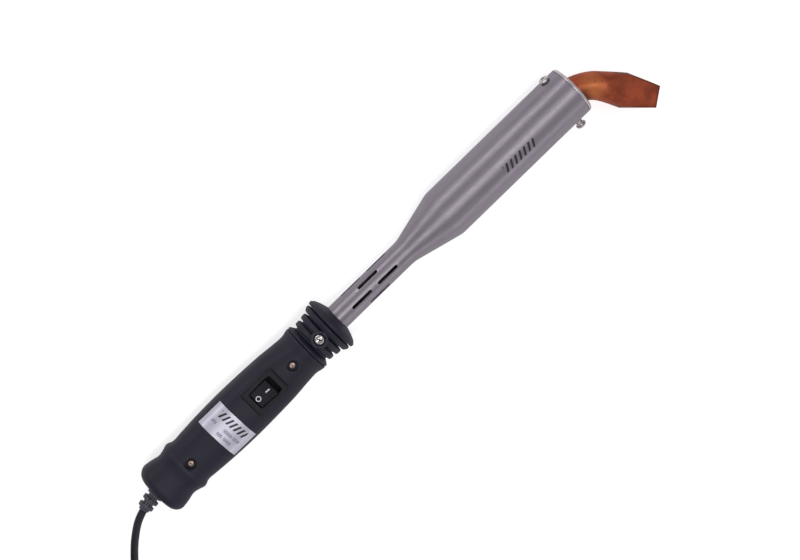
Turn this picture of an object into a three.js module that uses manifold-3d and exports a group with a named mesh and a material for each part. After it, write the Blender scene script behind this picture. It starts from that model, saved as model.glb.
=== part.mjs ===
// A corded soldering iron with a bent copper bit, lying level with its switch face up.
// Millimetres. The iron's axis is X, from the back of the handle (x = 0) towards the bit, and +Z is up.
// Every piece is placed on that axis first; at the end the whole model is moved to stand on z = 0.

import * as THREE from 'three';
import { mergeVertices } from 'three/addons/utils/BufferGeometryUtils.js';
import Module from 'manifold-3d';

const wasm = await Module();
wasm.setup();

// ---------------------------------------------------------------------------------------------
// Driving dimensions
// ---------------------------------------------------------------------------------------------

const GAP = 0.3; // between pieces that touch
const FREE_PLAY = 0.06; // round a pin that turns
const BEYOND = 40; // past everything, for cutters that cut right through
const TAU = Math.PI * 2;

const HANDLE = {
  length: 108.6,
  wall: 2.4,
  rearWall: 3.5,
  frontWall: 3.6,
  rearCorner: 5.2,
  flatness: 0.88, // thickness over width in the grip
  squareness: 2.7, // exponent of the grip's section; 2 is round
  roundFrom: 24.6, // the section turns from the flattened grip to a circle between these two
  roundTo: 2.6, // distances from the front
  buttHalfWidth: 14.8,
  // share of the length, half width: waist, ridge, dip, belly, front neck, front rim
  outline: [
    [0.085, 14.2], [0.128, 13.2], [0.164, 13.9], [0.193, 14.75], [0.228, 13.5], [0.285, 13.9], [0.396, 14.6],
    [0.534, 14.95], [0.663, 14.75], [0.797, 14.2], [0.884, 13.45], [0.947, 13.1], [0.978, 13.7], [1, 14.15],
  ],
};

const COLLAR = {
  length: 22.9, // every place along the collar is counted from the handle's front
  spigotRadius: 7.0,
  flangeRadius: 8.7,
  flangeThickness: 2.5,
  wireBore: 4.5,
  socketBack: 2.6,
  rimRadius: 14.0,
  grooveRadius: 11.0,
  ribs: [ // from, to, radius at the back, radius at the front, radius of the groove in front of it
    [4.4, 7.7, 13.0, 13.0, 11.0], [8.8, 12.3, 13.6, 13.6, 11.0], [13.1, 16.4, 14.5, 15.6, 12.8],
  ],
  ribEdge: 0.4,
  rim: [[0, 0], [1.2, 0.5], [3, 2.7]], // distance in front of the rim's face, drop below the rim's radius
  guardGroove: 12.8,
  guardChamfer: 0.6,
  guardRadius: 16.1,
  guardBack: 17.3,
  guardCrest: 18.8,
  crestStep: [1.2, 1], // along, and the drop below the guard's radius
  nose: [[1.8, 3], [0.6, 6.4]], // distance behind the front, and the drop
  screw: 8.6,
  screwBossRadius: 4.8,
  screwBossTop: 13.4,
  screwRecess: 3.4,
  screwSeat: 2,
};

// The barrel's radius follows from what is packed round the bit.
const BARREL = {
  wall: 0.7, neckRadius: 7.2, neckLength: 49.6, coneLength: 28, length: 92.1,
  flareBefore: 3, flare: 0.2, coneEase: 4, shoulderBefore: 0.8, shoulderDrop: 0.3,
  innerLag: 0.3, innerFlareBefore: 2,
};

// Slots in rows round the neck, in turn two and one to a row; their middles are counted from the collar.
const VENTS = { length: 13.9, width: 1.8, rows: 8, turn: -10, pair: [15.9, 34.4], single: [25] };

const CAP = { inside: 12.7, proud: 2, lip: 0.96, flare: 3.2, mouth: 1.9, frontChamfer: 0.6 };

const BIT = { radius: 7.6, behindHeater: 2, chamfer: 0.8, clearance: 0.4, straightEnd: 3.2 };

// The bent end: x from the barrel's front, y, heading in degrees, width over the bar's diameter and
// section exponent.
const BIT_STATIONS = [
  [1.8, -0.8, -6, -0.25, 2],
  [6.2, -2.9, -20, -0.2, 2],
  [10.4, -5.9, -36, 0.05, 2],
  [13.8, -9.6, -50, 0.5, 2.1],
  [17.2, -14.0, -56, 1.9, 2.4],
  [20.65, -19.05, -55, 3.5, 2.8],
  [26.2, -26.8, -54, -0.1, 3.2],
  [31.75, -34.5, -53.5, -3.6, 4],
];

// Two flats ground above and below, from the full thickness down to the end edge.
const BIT_FLATS = { length: 29, heading: -53.5, edgeThickness: 1.6, drawnIn: 0.2 };

const CLAMP_SCREWS = { fromFront: 6.9, fromTop: 73, lowerBackedOut: 3.1 };

const SCREW_SIZES = {
  handle: { headRadius: 2.05, headHeight: 1.5, shankRadius: 1.45, length: 15 },
  collar: { headRadius: 2.85, headHeight: 1.8, shankRadius: 1.65, length: 6 },
  clamp: { headRadius: 2.85, headHeight: 1.8, shankRadius: 2.0 },
  cordClamp: { headRadius: 1.9, headHeight: 1.3, shankRadius: 1.0, length: 8 },
};

const HANDLE_SCREWS = { fromRear: 24.9, fromFront: 10.7, recessRadius: 3.0, recessDepth: 3.0, bossRadius: 3.7 };

const LABEL = { behindSwitch: 27.4, length: 15.6, width: 25.4, thickness: 0.25, turn: 2, slopeStep: 0.01 };

const SWITCH = {
  fromFront: 30.2,
  endPlay: 3.0, sidePlay: 0.6, // the opening over the rocker's length and width
  endWall: 2.2, sideWall: 1.25,
  bezelBeyondEnd: 1.1, bezelBeyondSide: 1.2, bezelHeight: 1.7, bezelProud: 1.0, bezelOverlap: 0.5,
  bezelCorner: 0.9, bodyCorner: 0.7, openingCorner: 1.2, seatCorner: 1,
  bodyDepth: 15.6, floor: 1.5, pinWall: 0.5,
};

const ROCKER = {
  length: 11.4, width: 9.5, sideHeight: 4.6, sideTaper: 0.98, dish: 0.5, pivotDepth: 5.9, proud: 0.3, tilt: 12,
  pinRadius: 1.15, stemHalf: 1.7, stemTop: -1.8, stemLength: 2.6, boreTop: -1.6,
  plungerRadius: 0.9, plungerTop: -3.2, plungerDrop: 5.6, // the plunger's round end follows
  plungerNose: [[0, 0], [0.15, 0.55], [0.6, 1]], // along, share of the radius
};

const SPRING = { radius: 0.62, wire: 0.16, bottom: -2.85, height: 0.95, turns: 2 };

const CONTACT = { length: 9.6, width: 4.2, thickness: 0.6, rise: 0.5, tilt: 5, pivotAbove: 1.5 };
const TERMINAL = { width: 4.8, thickness: 0.8, drop: 6.5, endX: -6.4, aboveFloor: 0.5, wireAbove: 2 };

const CORD = { diameter: 4.2, inside: 18, sheathGap: 0.45, straight: 1.5 };
const cordRadius = CORD.diameter / 2;

const RELIEF = {
  wallSleeve: 1.8, flangeRadius: 5.4, innerBack: 6.2, innerSleeve: 1.3, inner: 9.5, endSleeve: 0.9,
  bend: 15, length: 11.6,
  // distance outside the handle's back face, wall round the cord: three shrinking ribs, then the end ring
  profile: [
    [0.35, 1.8], [0.35, 2.45], [2.3, 2.4], [2.4, 1.1], [3.9, 1.0], [4.0, 2.3], [6.2, 2.2], [6.3, 0.95],
    [7.9, 0.85], [8.0, 2.05], [10.3, 1.9], [10.4, 1.0], [11.6, 0.9],
  ],
};

const CLAMP_BAR = {
  x: 13, length: 16.4, width: 6, thickness: 2, corner: 1.5, beside: 4.2, postRadius: 2.3, clear: 0.4,
  saddle: 3.5,
};

const WIRE = {
  radius: 0.8, leadRadius: 0.6, apart: 1.1, lead: 0.8, spread: 0.1, besideBoss: 2.7, besideSwitch: 1.9,
};
const SPLICE = {
  behindScrew: 4.4, besideSwitch: 0.9, length: 8, radius: 1.9, shoulder: 2, crimp: 2.6, crimped: 0.8,
};

const HEATER = {
  fromCone: 21.9, sleeveBack: 4, sleeveWall: 0.7, micaWall: 0.5, turns: 9, endMargin: 4,
  ribbonWidth: 1.6, ribbonThickness: 0.7, fibreThickness: 1.15,
};
const DISC = { fromCone: 10.9, thickness: 5, clearance: 0.5, leadHole: 1.6, leadY: 3.4 };
const FRONT_RING = { thickness: 2.4 };
const LEAD_INSULATOR = { insideNeck: 7, behindBarrel: 3.1, bore: 1.1, radius: 2.1, y: 3.0 };

// The cord's far end: the coil's axis, how far out the free ends start, its turns, and the plug behind it.
const COIL = {
  x: -76, y: -24, within: 29.7, slack: 0.1, lowTurns: 3, highTurns: 2, lowLayers: 2, highLayers: 2, lift: 1.2,
};
// The free cord's middle line: from the relief down to the coil, and from the coil down to the plug.
const CORD_ROUTE = [
  [-17, -3.6, -0.8], [-22.4, -6.9, -2.5], [-28.2, -11.4, -5], [-33.8, -16.6, -7.8], [-39.3, -22.3, -10.3],
  [-44.6, -27.9, -12],
];
const CORD_EXIT_STEP = [-1.9, -0.55, -0.06];
const PLUG_ROUTE = [
  [-102.2, -39.9, -0.8], [-108.5, -37.2, -2.9], [-114.5, -35.0, -5.6], [-120.5, -33.4, -7.8],
];
const TIE = { wall: 0.8, width: 6, clearance: 0.35, angle: 100, corner: 1.4, holeCorner: 0.6 };
const PLUG = {
  x: -126.8, y: -32.6, bootRadius: 3.2, bootLength: 9, bootFlare: 1.6, width: 26, thickness: 15, shoulder: 5,
  bodyLength: 20, rest: 0.1,
  // distance behind the body's back, insets from half the width and half the thickness, section exponent
  backRings: [[-2, 3, 0.9, 3.2], [0, 0.8, 0.2, 4], [2, 0, 0, 4.5]],
  faceRings: [[-1, 0, 0, 4.5], [0, 0.8, 0.8, 4.5]],
  bladeWidth: 6.3, bladeThickness: 1.5, bladeLength: 16, bladeSpacing: 12.7, bladeSocket: 6,
};

// Sizes that follow from the rocker, the bit and the cord.
const opening = { length: ROCKER.length + SWITCH.endPlay, width: ROCKER.width + SWITCH.sidePlay };
const switchBody = { length: opening.length + 2 * SWITCH.endWall, width: opening.width + 2 * SWITCH.sideWall };
const bezel = {
  length: switchBody.length + 2 * SWITCH.bezelBeyondEnd, width: switchBody.width + 2 * SWITCH.bezelBeyondSide,
};
const sleeveBore = BIT.radius + BIT.clearance;
const sleeveOuter = sleeveBore + HEATER.sleeveWall;
const micaInnerBore = sleeveOuter + GAP;
const windingRadius = micaInnerBore + HEATER.micaWall + GAP + HEATER.ribbonThickness / 2 + GAP;
const micaOuterBore = windingRadius + HEATER.ribbonThickness / 2 + GAP;
const fibreBore = micaOuterBore + HEATER.micaWall + GAP;
const discRadius = fibreBore + HEATER.fibreThickness;
const barrelRadius = discRadius + DISC.clearance + BARREL.wall;
const clampSeat = cordRadius + CLAMP_BAR.clear;
const clampScrewY = cordRadius + CLAMP_BAR.beside;
const bitHeight = 2 * BIT.radius - BIT_FLATS.drawnIn;

// Places along the iron that more than one piece uses.
const rearScrewX = HANDLE_SCREWS.fromRear;
const frontScrewX = HANDLE.length - HANDLE_SCREWS.fromFront;
const switchX = HANDLE.length - SWITCH.fromFront;
const labelX = switchX - LABEL.behindSwitch;
const spliceX = frontScrewX - SPLICE.behindScrew;
const spliceY = switchBody.width / 2 + SPLICE.besideSwitch;
const collarFront = HANDLE.length + COLLAR.length;
const collarScrewX = HANDLE.length + COLLAR.screw;
const neckBack = HANDLE.length + COLLAR.socketBack + GAP;
const neckFront = collarFront + BARREL.neckLength;
const coneFront = neckFront + BARREL.coneLength;
const barrelFront = coneFront + BARREL.length;
const capBack = barrelFront - CAP.inside;
const clampX = barrelFront - CLAMP_SCREWS.fromFront;
const discBack = coneFront + DISC.fromCone;
const frontRingBack = capBack - GAP - FRONT_RING.thickness;
const heaterBack = coneFront + HEATER.fromCone;
const heaterFront = frontRingBack - 2 * GAP;
const bitBack = heaterBack - BIT.behindHeater;
const bitInside = barrelFront - bitBack;
const insulatorBack = neckBack + LEAD_INSULATOR.insideNeck;
const insulatorFront = coneFront - LEAD_INSULATOR.behindBarrel;

// ---------------------------------------------------------------------------------------------
// Solids and shapes
// ---------------------------------------------------------------------------------------------

const rad = THREE.MathUtils.degToRad;

function solid(geometry) {
  const bare = geometry.clone();
  bare.deleteAttribute('normal');
  bare.deleteAttribute('uv');
  const merged = mergeVertices(bare, 1e-5);
  const index = merged.index.array;
  const kept = [];
  for (let i = 0; i < index.length; i += 3) {
    const [a, b, c] = [index[i], index[i + 1], index[i + 2]];
    if (a !== b && b !== c && c !== a) kept.push(a, b, c);
  }
  return new wasm.Manifold(new wasm.Mesh({
    numProp: 3,
    vertProperties: Float32Array.from(merged.attributes.position.array),
    triVerts: Uint32Array.from(kept),
  }));
}

function geometryOf(manifold) {
  const mesh = manifold.getMesh();
  const geometry = new THREE.BufferGeometry();
  geometry.setAttribute('position', new THREE.BufferAttribute(Float32Array.from(mesh.vertProperties), 3));
  geometry.setIndex(new THREE.BufferAttribute(Uint32Array.from(mesh.triVerts), 1));
  return geometry;
}

const cut = (geometry, ...tools) =>
  geometryOf(tools.reduce((left, tool) => left.subtract(solid(tool)), solid(geometry)));
const join = (geometry, ...others) =>
  geometryOf(others.reduce((sum, other) => sum.add(solid(other)), solid(geometry)));
const common = (geometry, other) => geometryOf(solid(geometry).intersect(solid(other)));

// A box between two corners.
function block([x0, y0, z0], [x1, y1, z1]) {
  const geometry = new THREE.BoxGeometry(x1 - x0, y1 - y0, z1 - z0);
  return geometry.translate((x0 + x1) / 2, (y0 + y1) / 2, (z0 + z1) / 2);
}

// A round bar along Z at (x, y), from z0 to z1.
function post(x, y, radius, z0, z1, sides = 16) {
  const geometry = new THREE.CylinderGeometry(radius, radius, z1 - z0, sides);
  return geometry.rotateX(Math.PI / 2).translate(x, y, (z0 + z1) / 2);
}

// A solid of revolution about X from [x, radius] points; the profile closes on itself or on the axis.
function turned(profile, sides) {
  const points = profile.map(([x, radius]) => new THREE.Vector2(radius, x));
  return new THREE.LatheGeometry(points, sides).rotateZ(-Math.PI / 2);
}

function tube(back, front, inner, outer, sides = 28) {
  return turned([[back, inner], [back, outer], [front, outer], [front, inner], [back, inner]], sides);
}

function bar(back, front, radius, sides = 28) {
  return turned([[back, 0], [back, radius], [front, radius], [front, 0]], sides);
}

// A closed skin over rings of points that all have the same count.
function loft(rings) {
  const count = rings[0].length;
  const positions = rings.flat().flatMap((point) => [point.x, point.y, point.z]);
  const index = [];
  for (let i = 0; i + 1 < rings.length; i += 1) {
    for (let j = 0; j < count; j += 1) {
      const [a, b] = [i * count + j, i * count + ((j + 1) % count)];
      index.push(a, b, b + count, a, b + count, a + count);
    }
  }
  const ends = [[rings[0], 0, true], [rings.at(-1), (rings.length - 1) * count, false]];
  for (const [ring, start, flip] of ends) {
    const middle = ring.reduce((sum, point) => sum.add(point), new THREE.Vector3()).divideScalar(count);
    const centre = positions.length / 3;
    positions.push(middle.x, middle.y, middle.z);
    for (let j = 0; j < count; j += 1) {
      const [a, b] = [start + j, start + ((j + 1) % count)];
      index.push(...(flip ? [centre, b, a] : [centre, a, b]));
    }
  }
  const geometry = new THREE.BufferGeometry();
  geometry.setAttribute('position', new THREE.Float32BufferAttribute(positions, 3));
  geometry.setIndex(index);
  return geometry;
}

// One ring of a superellipse section, square to a heading in the XY plane.
function sectionRing({ x, y = 0, z = 0, heading = 0, halfWidth, halfHeight, exponent = 2 }, sides) {
  const power = 2 / exponent;
  const lateral = new THREE.Vector3(-Math.sin(rad(heading)), Math.cos(rad(heading)), 0);
  return Array.from({ length: sides }, (_, i) => {
    const angle = (TAU * i) / sides;
    const across = halfWidth * Math.sign(Math.cos(angle)) * Math.abs(Math.cos(angle)) ** power;
    const up = halfHeight * Math.sign(Math.sin(angle)) * Math.abs(Math.sin(angle)) ** power;
    return new THREE.Vector3(x, y, z + up).addScaledVector(lateral, across);
  });
}

// A round bar that follows points in space.
function strand(points, radius, steps, sides) {
  const knots = points.map((point) => new THREE.Vector3(...point));
  const path = new THREE.CatmullRomCurve3(knots, false, 'centripetal');
  const corners = Array.from({ length: sides }, (_, i) =>
    new THREE.Vector2(radius * Math.cos((TAU * i) / sides), radius * Math.sin((TAU * i) / sides)));
  return new THREE.ExtrudeGeometry(new THREE.Shape(corners), { steps, extrudePath: path, bevelEnabled: false });
}

// A rectangle with round corners, centred on the origin.
function roundedRectangle(length, width, corner) {
  const [x, y] = [length / 2, width / 2];
  const shape = new THREE.Shape();
  shape.moveTo(-x + corner, -y);
  shape.lineTo(x - corner, -y);
  shape.absarc(x - corner, -y + corner, corner, -Math.PI / 2, 0, false);
  shape.lineTo(x, y - corner);
  shape.absarc(x - corner, y - corner, corner, 0, Math.PI / 2, false);
  shape.lineTo(-x + corner, y);
  shape.absarc(-x + corner, y - corner, corner, Math.PI / 2, Math.PI, false);
  shape.lineTo(-x, -y + corner);
  shape.absarc(-x + corner, -y + corner, corner, Math.PI, 1.5 * Math.PI, false);
  return shape;
}

// That rectangle as a plate between z0 and z1.
function plate(length, width, corner, z0, z1, curveSegments = 3) {
  const options = { depth: z1 - z0, bevelEnabled: false, curveSegments };
  return new THREE.ExtrudeGeometry(roundedRectangle(length, width, corner), options).translate(0, 0, z0);
}

// Shares of a screw's own radii and head height.
const SCREW_FORM = {
  tip: 0.6, tipTaper: 0.5, headSide: 0.45, crown: 0.55, arm: 0.55, slot: 0.14, slotFloor: 0.35,
};

// A cross-recessed screw along Z: the underside of its head is at z = 0 and the head is above.
function screw({ headRadius, headHeight, shankRadius, length }, sides = 12) {
  const body = turned([
    [-length, 0], [-length, shankRadius * SCREW_FORM.tip],
    [-length + shankRadius * SCREW_FORM.tipTaper, shankRadius], [0, shankRadius], [0, headRadius],
    [headHeight * SCREW_FORM.headSide, headRadius], [headHeight, headRadius * SCREW_FORM.crown], [headHeight, 0],
  ], sides).rotateY(-Math.PI / 2);
  const [arm, slot] = [headRadius * SCREW_FORM.arm, headRadius * SCREW_FORM.slot];
  const floor = headHeight * SCREW_FORM.slotFloor;
  const cross = join(
    block([-arm, -slot, floor], [arm, slot, headHeight + 1]),
    block([-slot, -arm, floor], [slot, arm, headHeight + 1]),
  );
  return cut(body, cross);
}

// ---------------------------------------------------------------------------------------------
// Handle
// ---------------------------------------------------------------------------------------------

const outline = [
  new THREE.Vector2(HANDLE.rearCorner, HANDLE.buttHalfWidth),
  ...HANDLE.outline.map(([share, halfWidth]) => new THREE.Vector2(share * HANDLE.length, halfWidth)),
];
const outlineCurve = new THREE.SplineCurve(outline);
const outlinePoints = outlineCurve.getPoints(120);

function handleHalfWidth(x) {
  const corner = HANDLE.rearCorner;
  if (x <= corner) {
    const inset = HANDLE.buttHalfWidth - corner;
    return inset + Math.sqrt(Math.max(0, corner ** 2 - (corner - x) ** 2));
  }
  const next = outlinePoints.findIndex((point) => point.x >= x);
  if (next < 0) return outlinePoints.at(-1).y;
  const [a, b] = [outlinePoints[Math.max(0, next - 1)], outlinePoints[Math.max(1, next)]];
  return THREE.MathUtils.mapLinear(x, a.x, b.x, a.y, b.y);
}

function handleSection(x, inset = 0) {
  const round = THREE.MathUtils.smoothstep(x, HANDLE.length - HANDLE.roundFrom, HANDLE.length - HANDLE.roundTo);
  const halfWidth = handleHalfWidth(x);
  const halfHeight = halfWidth * THREE.MathUtils.lerp(HANDLE.flatness, 1, round);
  const exponent = THREE.MathUtils.lerp(HANDLE.squareness, 2, round);
  return { x, halfWidth: halfWidth - inset, halfHeight: halfHeight - inset, exponent };
}

// The height of the handle's top skin over a point of its plan.
function handleTop(x, y) {
  const { halfWidth, halfHeight, exponent } = handleSection(x);
  return halfHeight * (1 - (Math.abs(y) / halfWidth) ** exponent) ** (1 / exponent);
}

function handleOuter() {
  const arc = [0, 0.25, 0.6].map((share) => HANDLE.rearCorner * (1 - Math.cos((share * Math.PI) / 2)));
  const stations = [...arc, ...outline.map(({ x }) => x)];
  return loft(stations.map((x) => sectionRing(handleSection(x), 32)));
}

function handleHollow() {
  const [from, to] = [HANDLE.rearWall, HANDLE.length - HANDLE.frontWall];
  const stations = Array.from({ length: 11 }, (_, i) => from + ((to - from) * i) / 10);
  return loft(stations.map((x) => sectionRing(handleSection(x, HANDLE.wall), 20)));
}

const halfBox = (sign) => (sign > 0
  ? block([-BEYOND, -BEYOND, GAP / 2], [HANDLE.length + BEYOND, BEYOND, BEYOND])
  : block([-BEYOND, -BEYOND, -BEYOND], [HANDLE.length + BEYOND, BEYOND, -GAP / 2]));

const screwSeat = (x) => handleTop(x, 0) - HANDLE_SCREWS.recessDepth;

function reliefHole() {
  return bar(-1, HANDLE.rearWall + 1, cordRadius + RELIEF.wallSleeve + GAP, 20);
}

function spigotHole() {
  return bar(HANDLE.length - HANDLE.frontWall - 1, HANDLE.length + 1, COLLAR.spigotRadius + GAP);
}

function handleHalf(sign, outer, shell, bosses, cutters) {
  const bossesInside = bosses.map((boss) => common(boss, outer));
  const half = common(join(shell, ...bossesInside), halfBox(sign));
  return cut(half, reliefHole(), spigotHole(), ...cutters);
}

function handleShells() {
  const outer = handleOuter();
  const shell = cut(outer, handleHollow());
  const screwXs = [rearScrewX, frontScrewX];
  const shank = SCREW_SIZES.handle.shankRadius + GAP;
  const boss = HANDLE_SCREWS.bossRadius;

  const upperCutters = screwXs.flatMap((x) => [
    post(x, 0, shank, -1, BEYOND),
    post(x, 0, HANDLE_SCREWS.recessRadius, screwSeat(x), BEYOND, 24),
  ]);
  const bezelSeat = handleTop(switchX, 0) + SWITCH.bezelProud - SWITCH.bezelHeight - GAP;
  upperCutters.push(
    plate(bezel.length + 2 * GAP, bezel.width + 2 * GAP, SWITCH.seatCorner, bezelSeat, BEYOND)
      .translate(switchX, 0, 0),
    plate(switchBody.length + 2 * GAP, switchBody.width + 2 * GAP, SWITCH.seatCorner, -1, BEYOND)
      .translate(switchX, 0, 0),
  );
  const upper = handleHalf(1, outer, shell, screwXs.map((x) => post(x, 0, boss, -BEYOND, BEYOND)), upperCutters);

  const lowerBosses = screwXs.map((x) => post(x, 0, boss, -BEYOND, BEYOND));
  const { x: barX, width: barWidth } = CLAMP_BAR;
  lowerBosses.push(block(
    [barX - barWidth / 2, -CLAMP_BAR.saddle, -BEYOND], [barX + barWidth / 2, CLAMP_BAR.saddle, -clampSeat],
  ));
  const lowerCutters = screwXs.map((x) => post(x, 0, shank, screwSeat(x) - SCREW_SIZES.handle.length - 1, 1));
  const screwEnd = clampSeat - GAP - SCREW_SIZES.cordClamp.length;
  const posts = [-1, 1].map((side) => {
    const y = side * clampScrewY;
    return cut(
      common(post(barX, y, CLAMP_BAR.postRadius, -BEYOND, -2 * GAP), outer),
      post(barX, y, SCREW_SIZES.cordClamp.shankRadius + GAP, screwEnd - 1, 1, 12),
    );
  });
  const lower = join(handleHalf(-1, outer, shell, lowerBosses, lowerCutters), ...posts);
  return { upper, lower };
}

function handleScrew(x) {
  return screw(SCREW_SIZES.handle).translate(x, 0, screwSeat(x) + GAP);
}

// A sticker that follows the crown of the grip.
function label() {
  const [columns, rows] = [2, 12];
  const layer = (lift) => Array.from({ length: rows + 1 }, (_, j) => {
    const y = LABEL.width * (j / rows - 0.5);
    return Array.from({ length: columns + 1 }, (_unused, i) => {
      const x = labelX + LABEL.length * (i / columns - 0.5) - y * Math.tan(rad(LABEL.turn));
      const rise = handleTop(x, y + LABEL.slopeStep) - handleTop(x, y - LABEL.slopeStep);
      const slope = rise / (2 * LABEL.slopeStep);
      const normal = new THREE.Vector3(0, -slope, 1).normalize();
      return new THREE.Vector3(x, y, handleTop(x, y)).addScaledVector(normal, lift);
    });
  });
  const [low, high] = [layer(GAP), layer(GAP + LABEL.thickness)];
  return loft(low.map((row, j) => [...row, ...high[j].toReversed()]).toReversed());
}

// ---------------------------------------------------------------------------------------------
// Switch
// ---------------------------------------------------------------------------------------------

const bezelTop = handleTop(switchX, 0) + SWITCH.bezelProud;
const pivotZ = bezelTop - ROCKER.pivotDepth;
const switchFloor = bezelTop - SWITCH.bodyDepth + SWITCH.floor;

function switchHousing() {
  const bezelBottom = bezelTop - SWITCH.bezelHeight;
  const body = join(
    plate(bezel.length, bezel.width, SWITCH.bezelCorner, bezelBottom, bezelTop),
    plate(
      switchBody.length, switchBody.width, SWITCH.bodyCorner, switchFloor - SWITCH.floor,
      bezelBottom + SWITCH.bezelOverlap),
  );
  const holeRadius = ROCKER.pinRadius + 2 * FREE_PLAY;
  const pinHole = new THREE.CylinderGeometry(holeRadius, holeRadius, switchBody.width - 2 * SWITCH.pinWall, 24);
  const slots = [0, TERMINAL.endX].map((x) => terminalBlade(x, GAP));
  return cut(
    body,
    plate(opening.length, opening.width, SWITCH.openingCorner, switchFloor, bezelTop + 1),
    pinHole.translate(0, 0, pivotZ),
    ...slots,
  ).translate(switchX, 0, 0);
}

// The rocker is drawn level about its pivot, then tipped with its rear end down.
function tipped(geometry) {
  return geometry.rotateY(rad(-ROCKER.tilt)).translate(switchX, 0, pivotZ);
}

function switchRocker() {
  const half = ROCKER.length / 2;
  const low = half * ROCKER.sideTaper;
  const top = ROCKER.pivotDepth + ROCKER.proud;
  const stemEnd = ROCKER.stemTop - ROCKER.stemLength;
  const side = new THREE.Shape();
  side.moveTo(-half, top);
  side.quadraticCurveTo(0, top - 2 * ROCKER.dish, half, top);
  side.lineTo(low, top - ROCKER.sideHeight);
  side.lineTo(ROCKER.stemHalf, ROCKER.stemTop);
  side.lineTo(ROCKER.stemHalf, stemEnd);
  side.lineTo(-ROCKER.stemHalf, stemEnd);
  side.lineTo(-ROCKER.stemHalf, ROCKER.stemTop);
  side.lineTo(-low, top - ROCKER.sideHeight);
  side.closePath();
  const options = { depth: ROCKER.width, bevelEnabled: false, curveSegments: 8 };
  const body = new THREE.ExtrudeGeometry(side, options).rotateX(Math.PI / 2).translate(0, ROCKER.width / 2, 0);
  const pinLength = switchBody.width - 2 * SWITCH.pinWall - 2 * GAP;
  const pin = new THREE.CylinderGeometry(ROCKER.pinRadius, ROCKER.pinRadius, pinLength, 24);
  const bore = post(0, 0, ROCKER.plungerRadius + GAP, stemEnd - 1, ROCKER.boreTop, 12);
  return tipped(cut(join(body, pin), bore));
}

function switchPlunger() {
  const radius = ROCKER.plungerRadius;
  const [top, tip] = [ROCKER.plungerTop, -ROCKER.plungerDrop];
  const nose = ROCKER.plungerNose.map(([along, share]) => [tip + along, radius * share]);
  return tipped(turned([...nose, [top, radius], [top, 0]], 12).rotateY(-Math.PI / 2));
}

function switchSpring() {
  const steps = 6 * SPRING.turns;
  const points = Array.from({ length: steps + 1 }, (_, i) => {
    const angle = (i * TAU) / 6;
    const z = SPRING.bottom + (i / steps) * SPRING.height;
    return [SPRING.radius * Math.cos(angle), SPRING.radius * Math.sin(angle), z];
  });
  return tipped(strand(points, SPRING.wire, 2 * steps, 4));
}

const contactPivotZ = switchFloor + CONTACT.pivotAbove;

// A see-saw blade that rocks on the middle terminal; its forward end is down when the switch is off.
function contactBlade() {
  const [half, thickness, rise] = [CONTACT.length / 2, CONTACT.thickness, CONTACT.rise];
  const side = new THREE.Shape();
  side.moveTo(-half, rise);
  side.lineTo(0, 0);
  side.lineTo(half, rise);
  side.lineTo(half, rise + thickness);
  side.lineTo(0, thickness);
  side.lineTo(-half, rise + thickness);
  side.closePath();
  const blade = new THREE.ExtrudeGeometry(side, { depth: CONTACT.width, bevelEnabled: false });
  blade.rotateX(Math.PI / 2).translate(0, CONTACT.width / 2, 0);
  return blade.rotateY(rad(CONTACT.tilt)).translate(switchX, 0, contactPivotZ + GAP);
}

// A flat terminal through the switch's floor at x from its middle; grow makes the hole it passes.
function terminalBlade(x, grow = 0) {
  const [half, thick] = [TERMINAL.width / 2 + grow, TERMINAL.thickness / 2 + grow];
  const top = x === 0 ? contactPivotZ - GAP : switchFloor + TERMINAL.aboveFloor;
  const bottom = switchFloor - SWITCH.floor - TERMINAL.drop - grow;
  return block([x - thick, -half, bottom], [x + thick, half, top + grow]);
}

// ---------------------------------------------------------------------------------------------
// Cord entry
// ---------------------------------------------------------------------------------------------

// A point of the relief's centre line at a distance outside the handle, and its heading.
function reliefPoint(distance) {
  if (distance <= 0) return { x: -distance, y: 0, heading: 0 };
  const bendRadius = RELIEF.length / rad(RELIEF.bend);
  const angle = distance / bendRadius;
  return {
    x: -bendRadius * Math.sin(angle),
    y: -bendRadius * (1 - Math.cos(angle)),
    heading: THREE.MathUtils.radToDeg(angle),
  };
}

function strainRelief() {
  const [flange, end, back] = [RELIEF.flangeRadius - cordRadius, -RELIEF.inner, -RELIEF.innerBack];
  const flangeOut = -HANDLE.rearWall - GAP;
  const inside = [
    [end, RELIEF.endSleeve], [back, RELIEF.innerSleeve], [back, flange], [flangeOut, flange],
    [flangeOut, RELIEF.wallSleeve],
  ];
  const stations = [...inside, ...RELIEF.profile];
  return loft(stations.map(([distance, sleeve]) => {
    const radius = cordRadius + sleeve;
    return sectionRing({ ...reliefPoint(distance), halfWidth: radius, halfHeight: radius }, 16);
  }).toReversed());
}

function clampBar() {
  const { x, length, width, thickness, corner } = CLAMP_BAR;
  const [seat, screwY] = [clampSeat, clampScrewY];
  const bar = plate(width, length, corner, seat, seat + thickness).translate(x, 0, 0);
  const holes = [-1, 1].map((side) =>
    post(x, side * screwY, SCREW_SIZES.cordClamp.shankRadius + GAP, seat - 1, seat + thickness + 1, 12));
  return cut(bar, ...holes);
}

function clampBarScrew(side) {
  const z = clampSeat + CLAMP_BAR.thickness + GAP;
  return screw(SCREW_SIZES.cordClamp, 10).translate(CLAMP_BAR.x, side * clampScrewY, z);
}

function cordInside() {
  return turned([
    [RELIEF.inner + GAP, 0], [RELIEF.inner + GAP, cordRadius], [CORD.inside, cordRadius],
    [CORD.inside, 0],
  ], 12);
}

// ---------------------------------------------------------------------------------------------
// Wires
// ---------------------------------------------------------------------------------------------

const terminalEnd = switchFloor - SWITCH.floor - TERMINAL.drop;
const wireStart = CORD.inside + GAP;
const roundBoss = HANDLE_SCREWS.bossRadius + WIRE.besideBoss;
const roundSwitch = switchBody.width / 2 + WIRE.besideSwitch;

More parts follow.
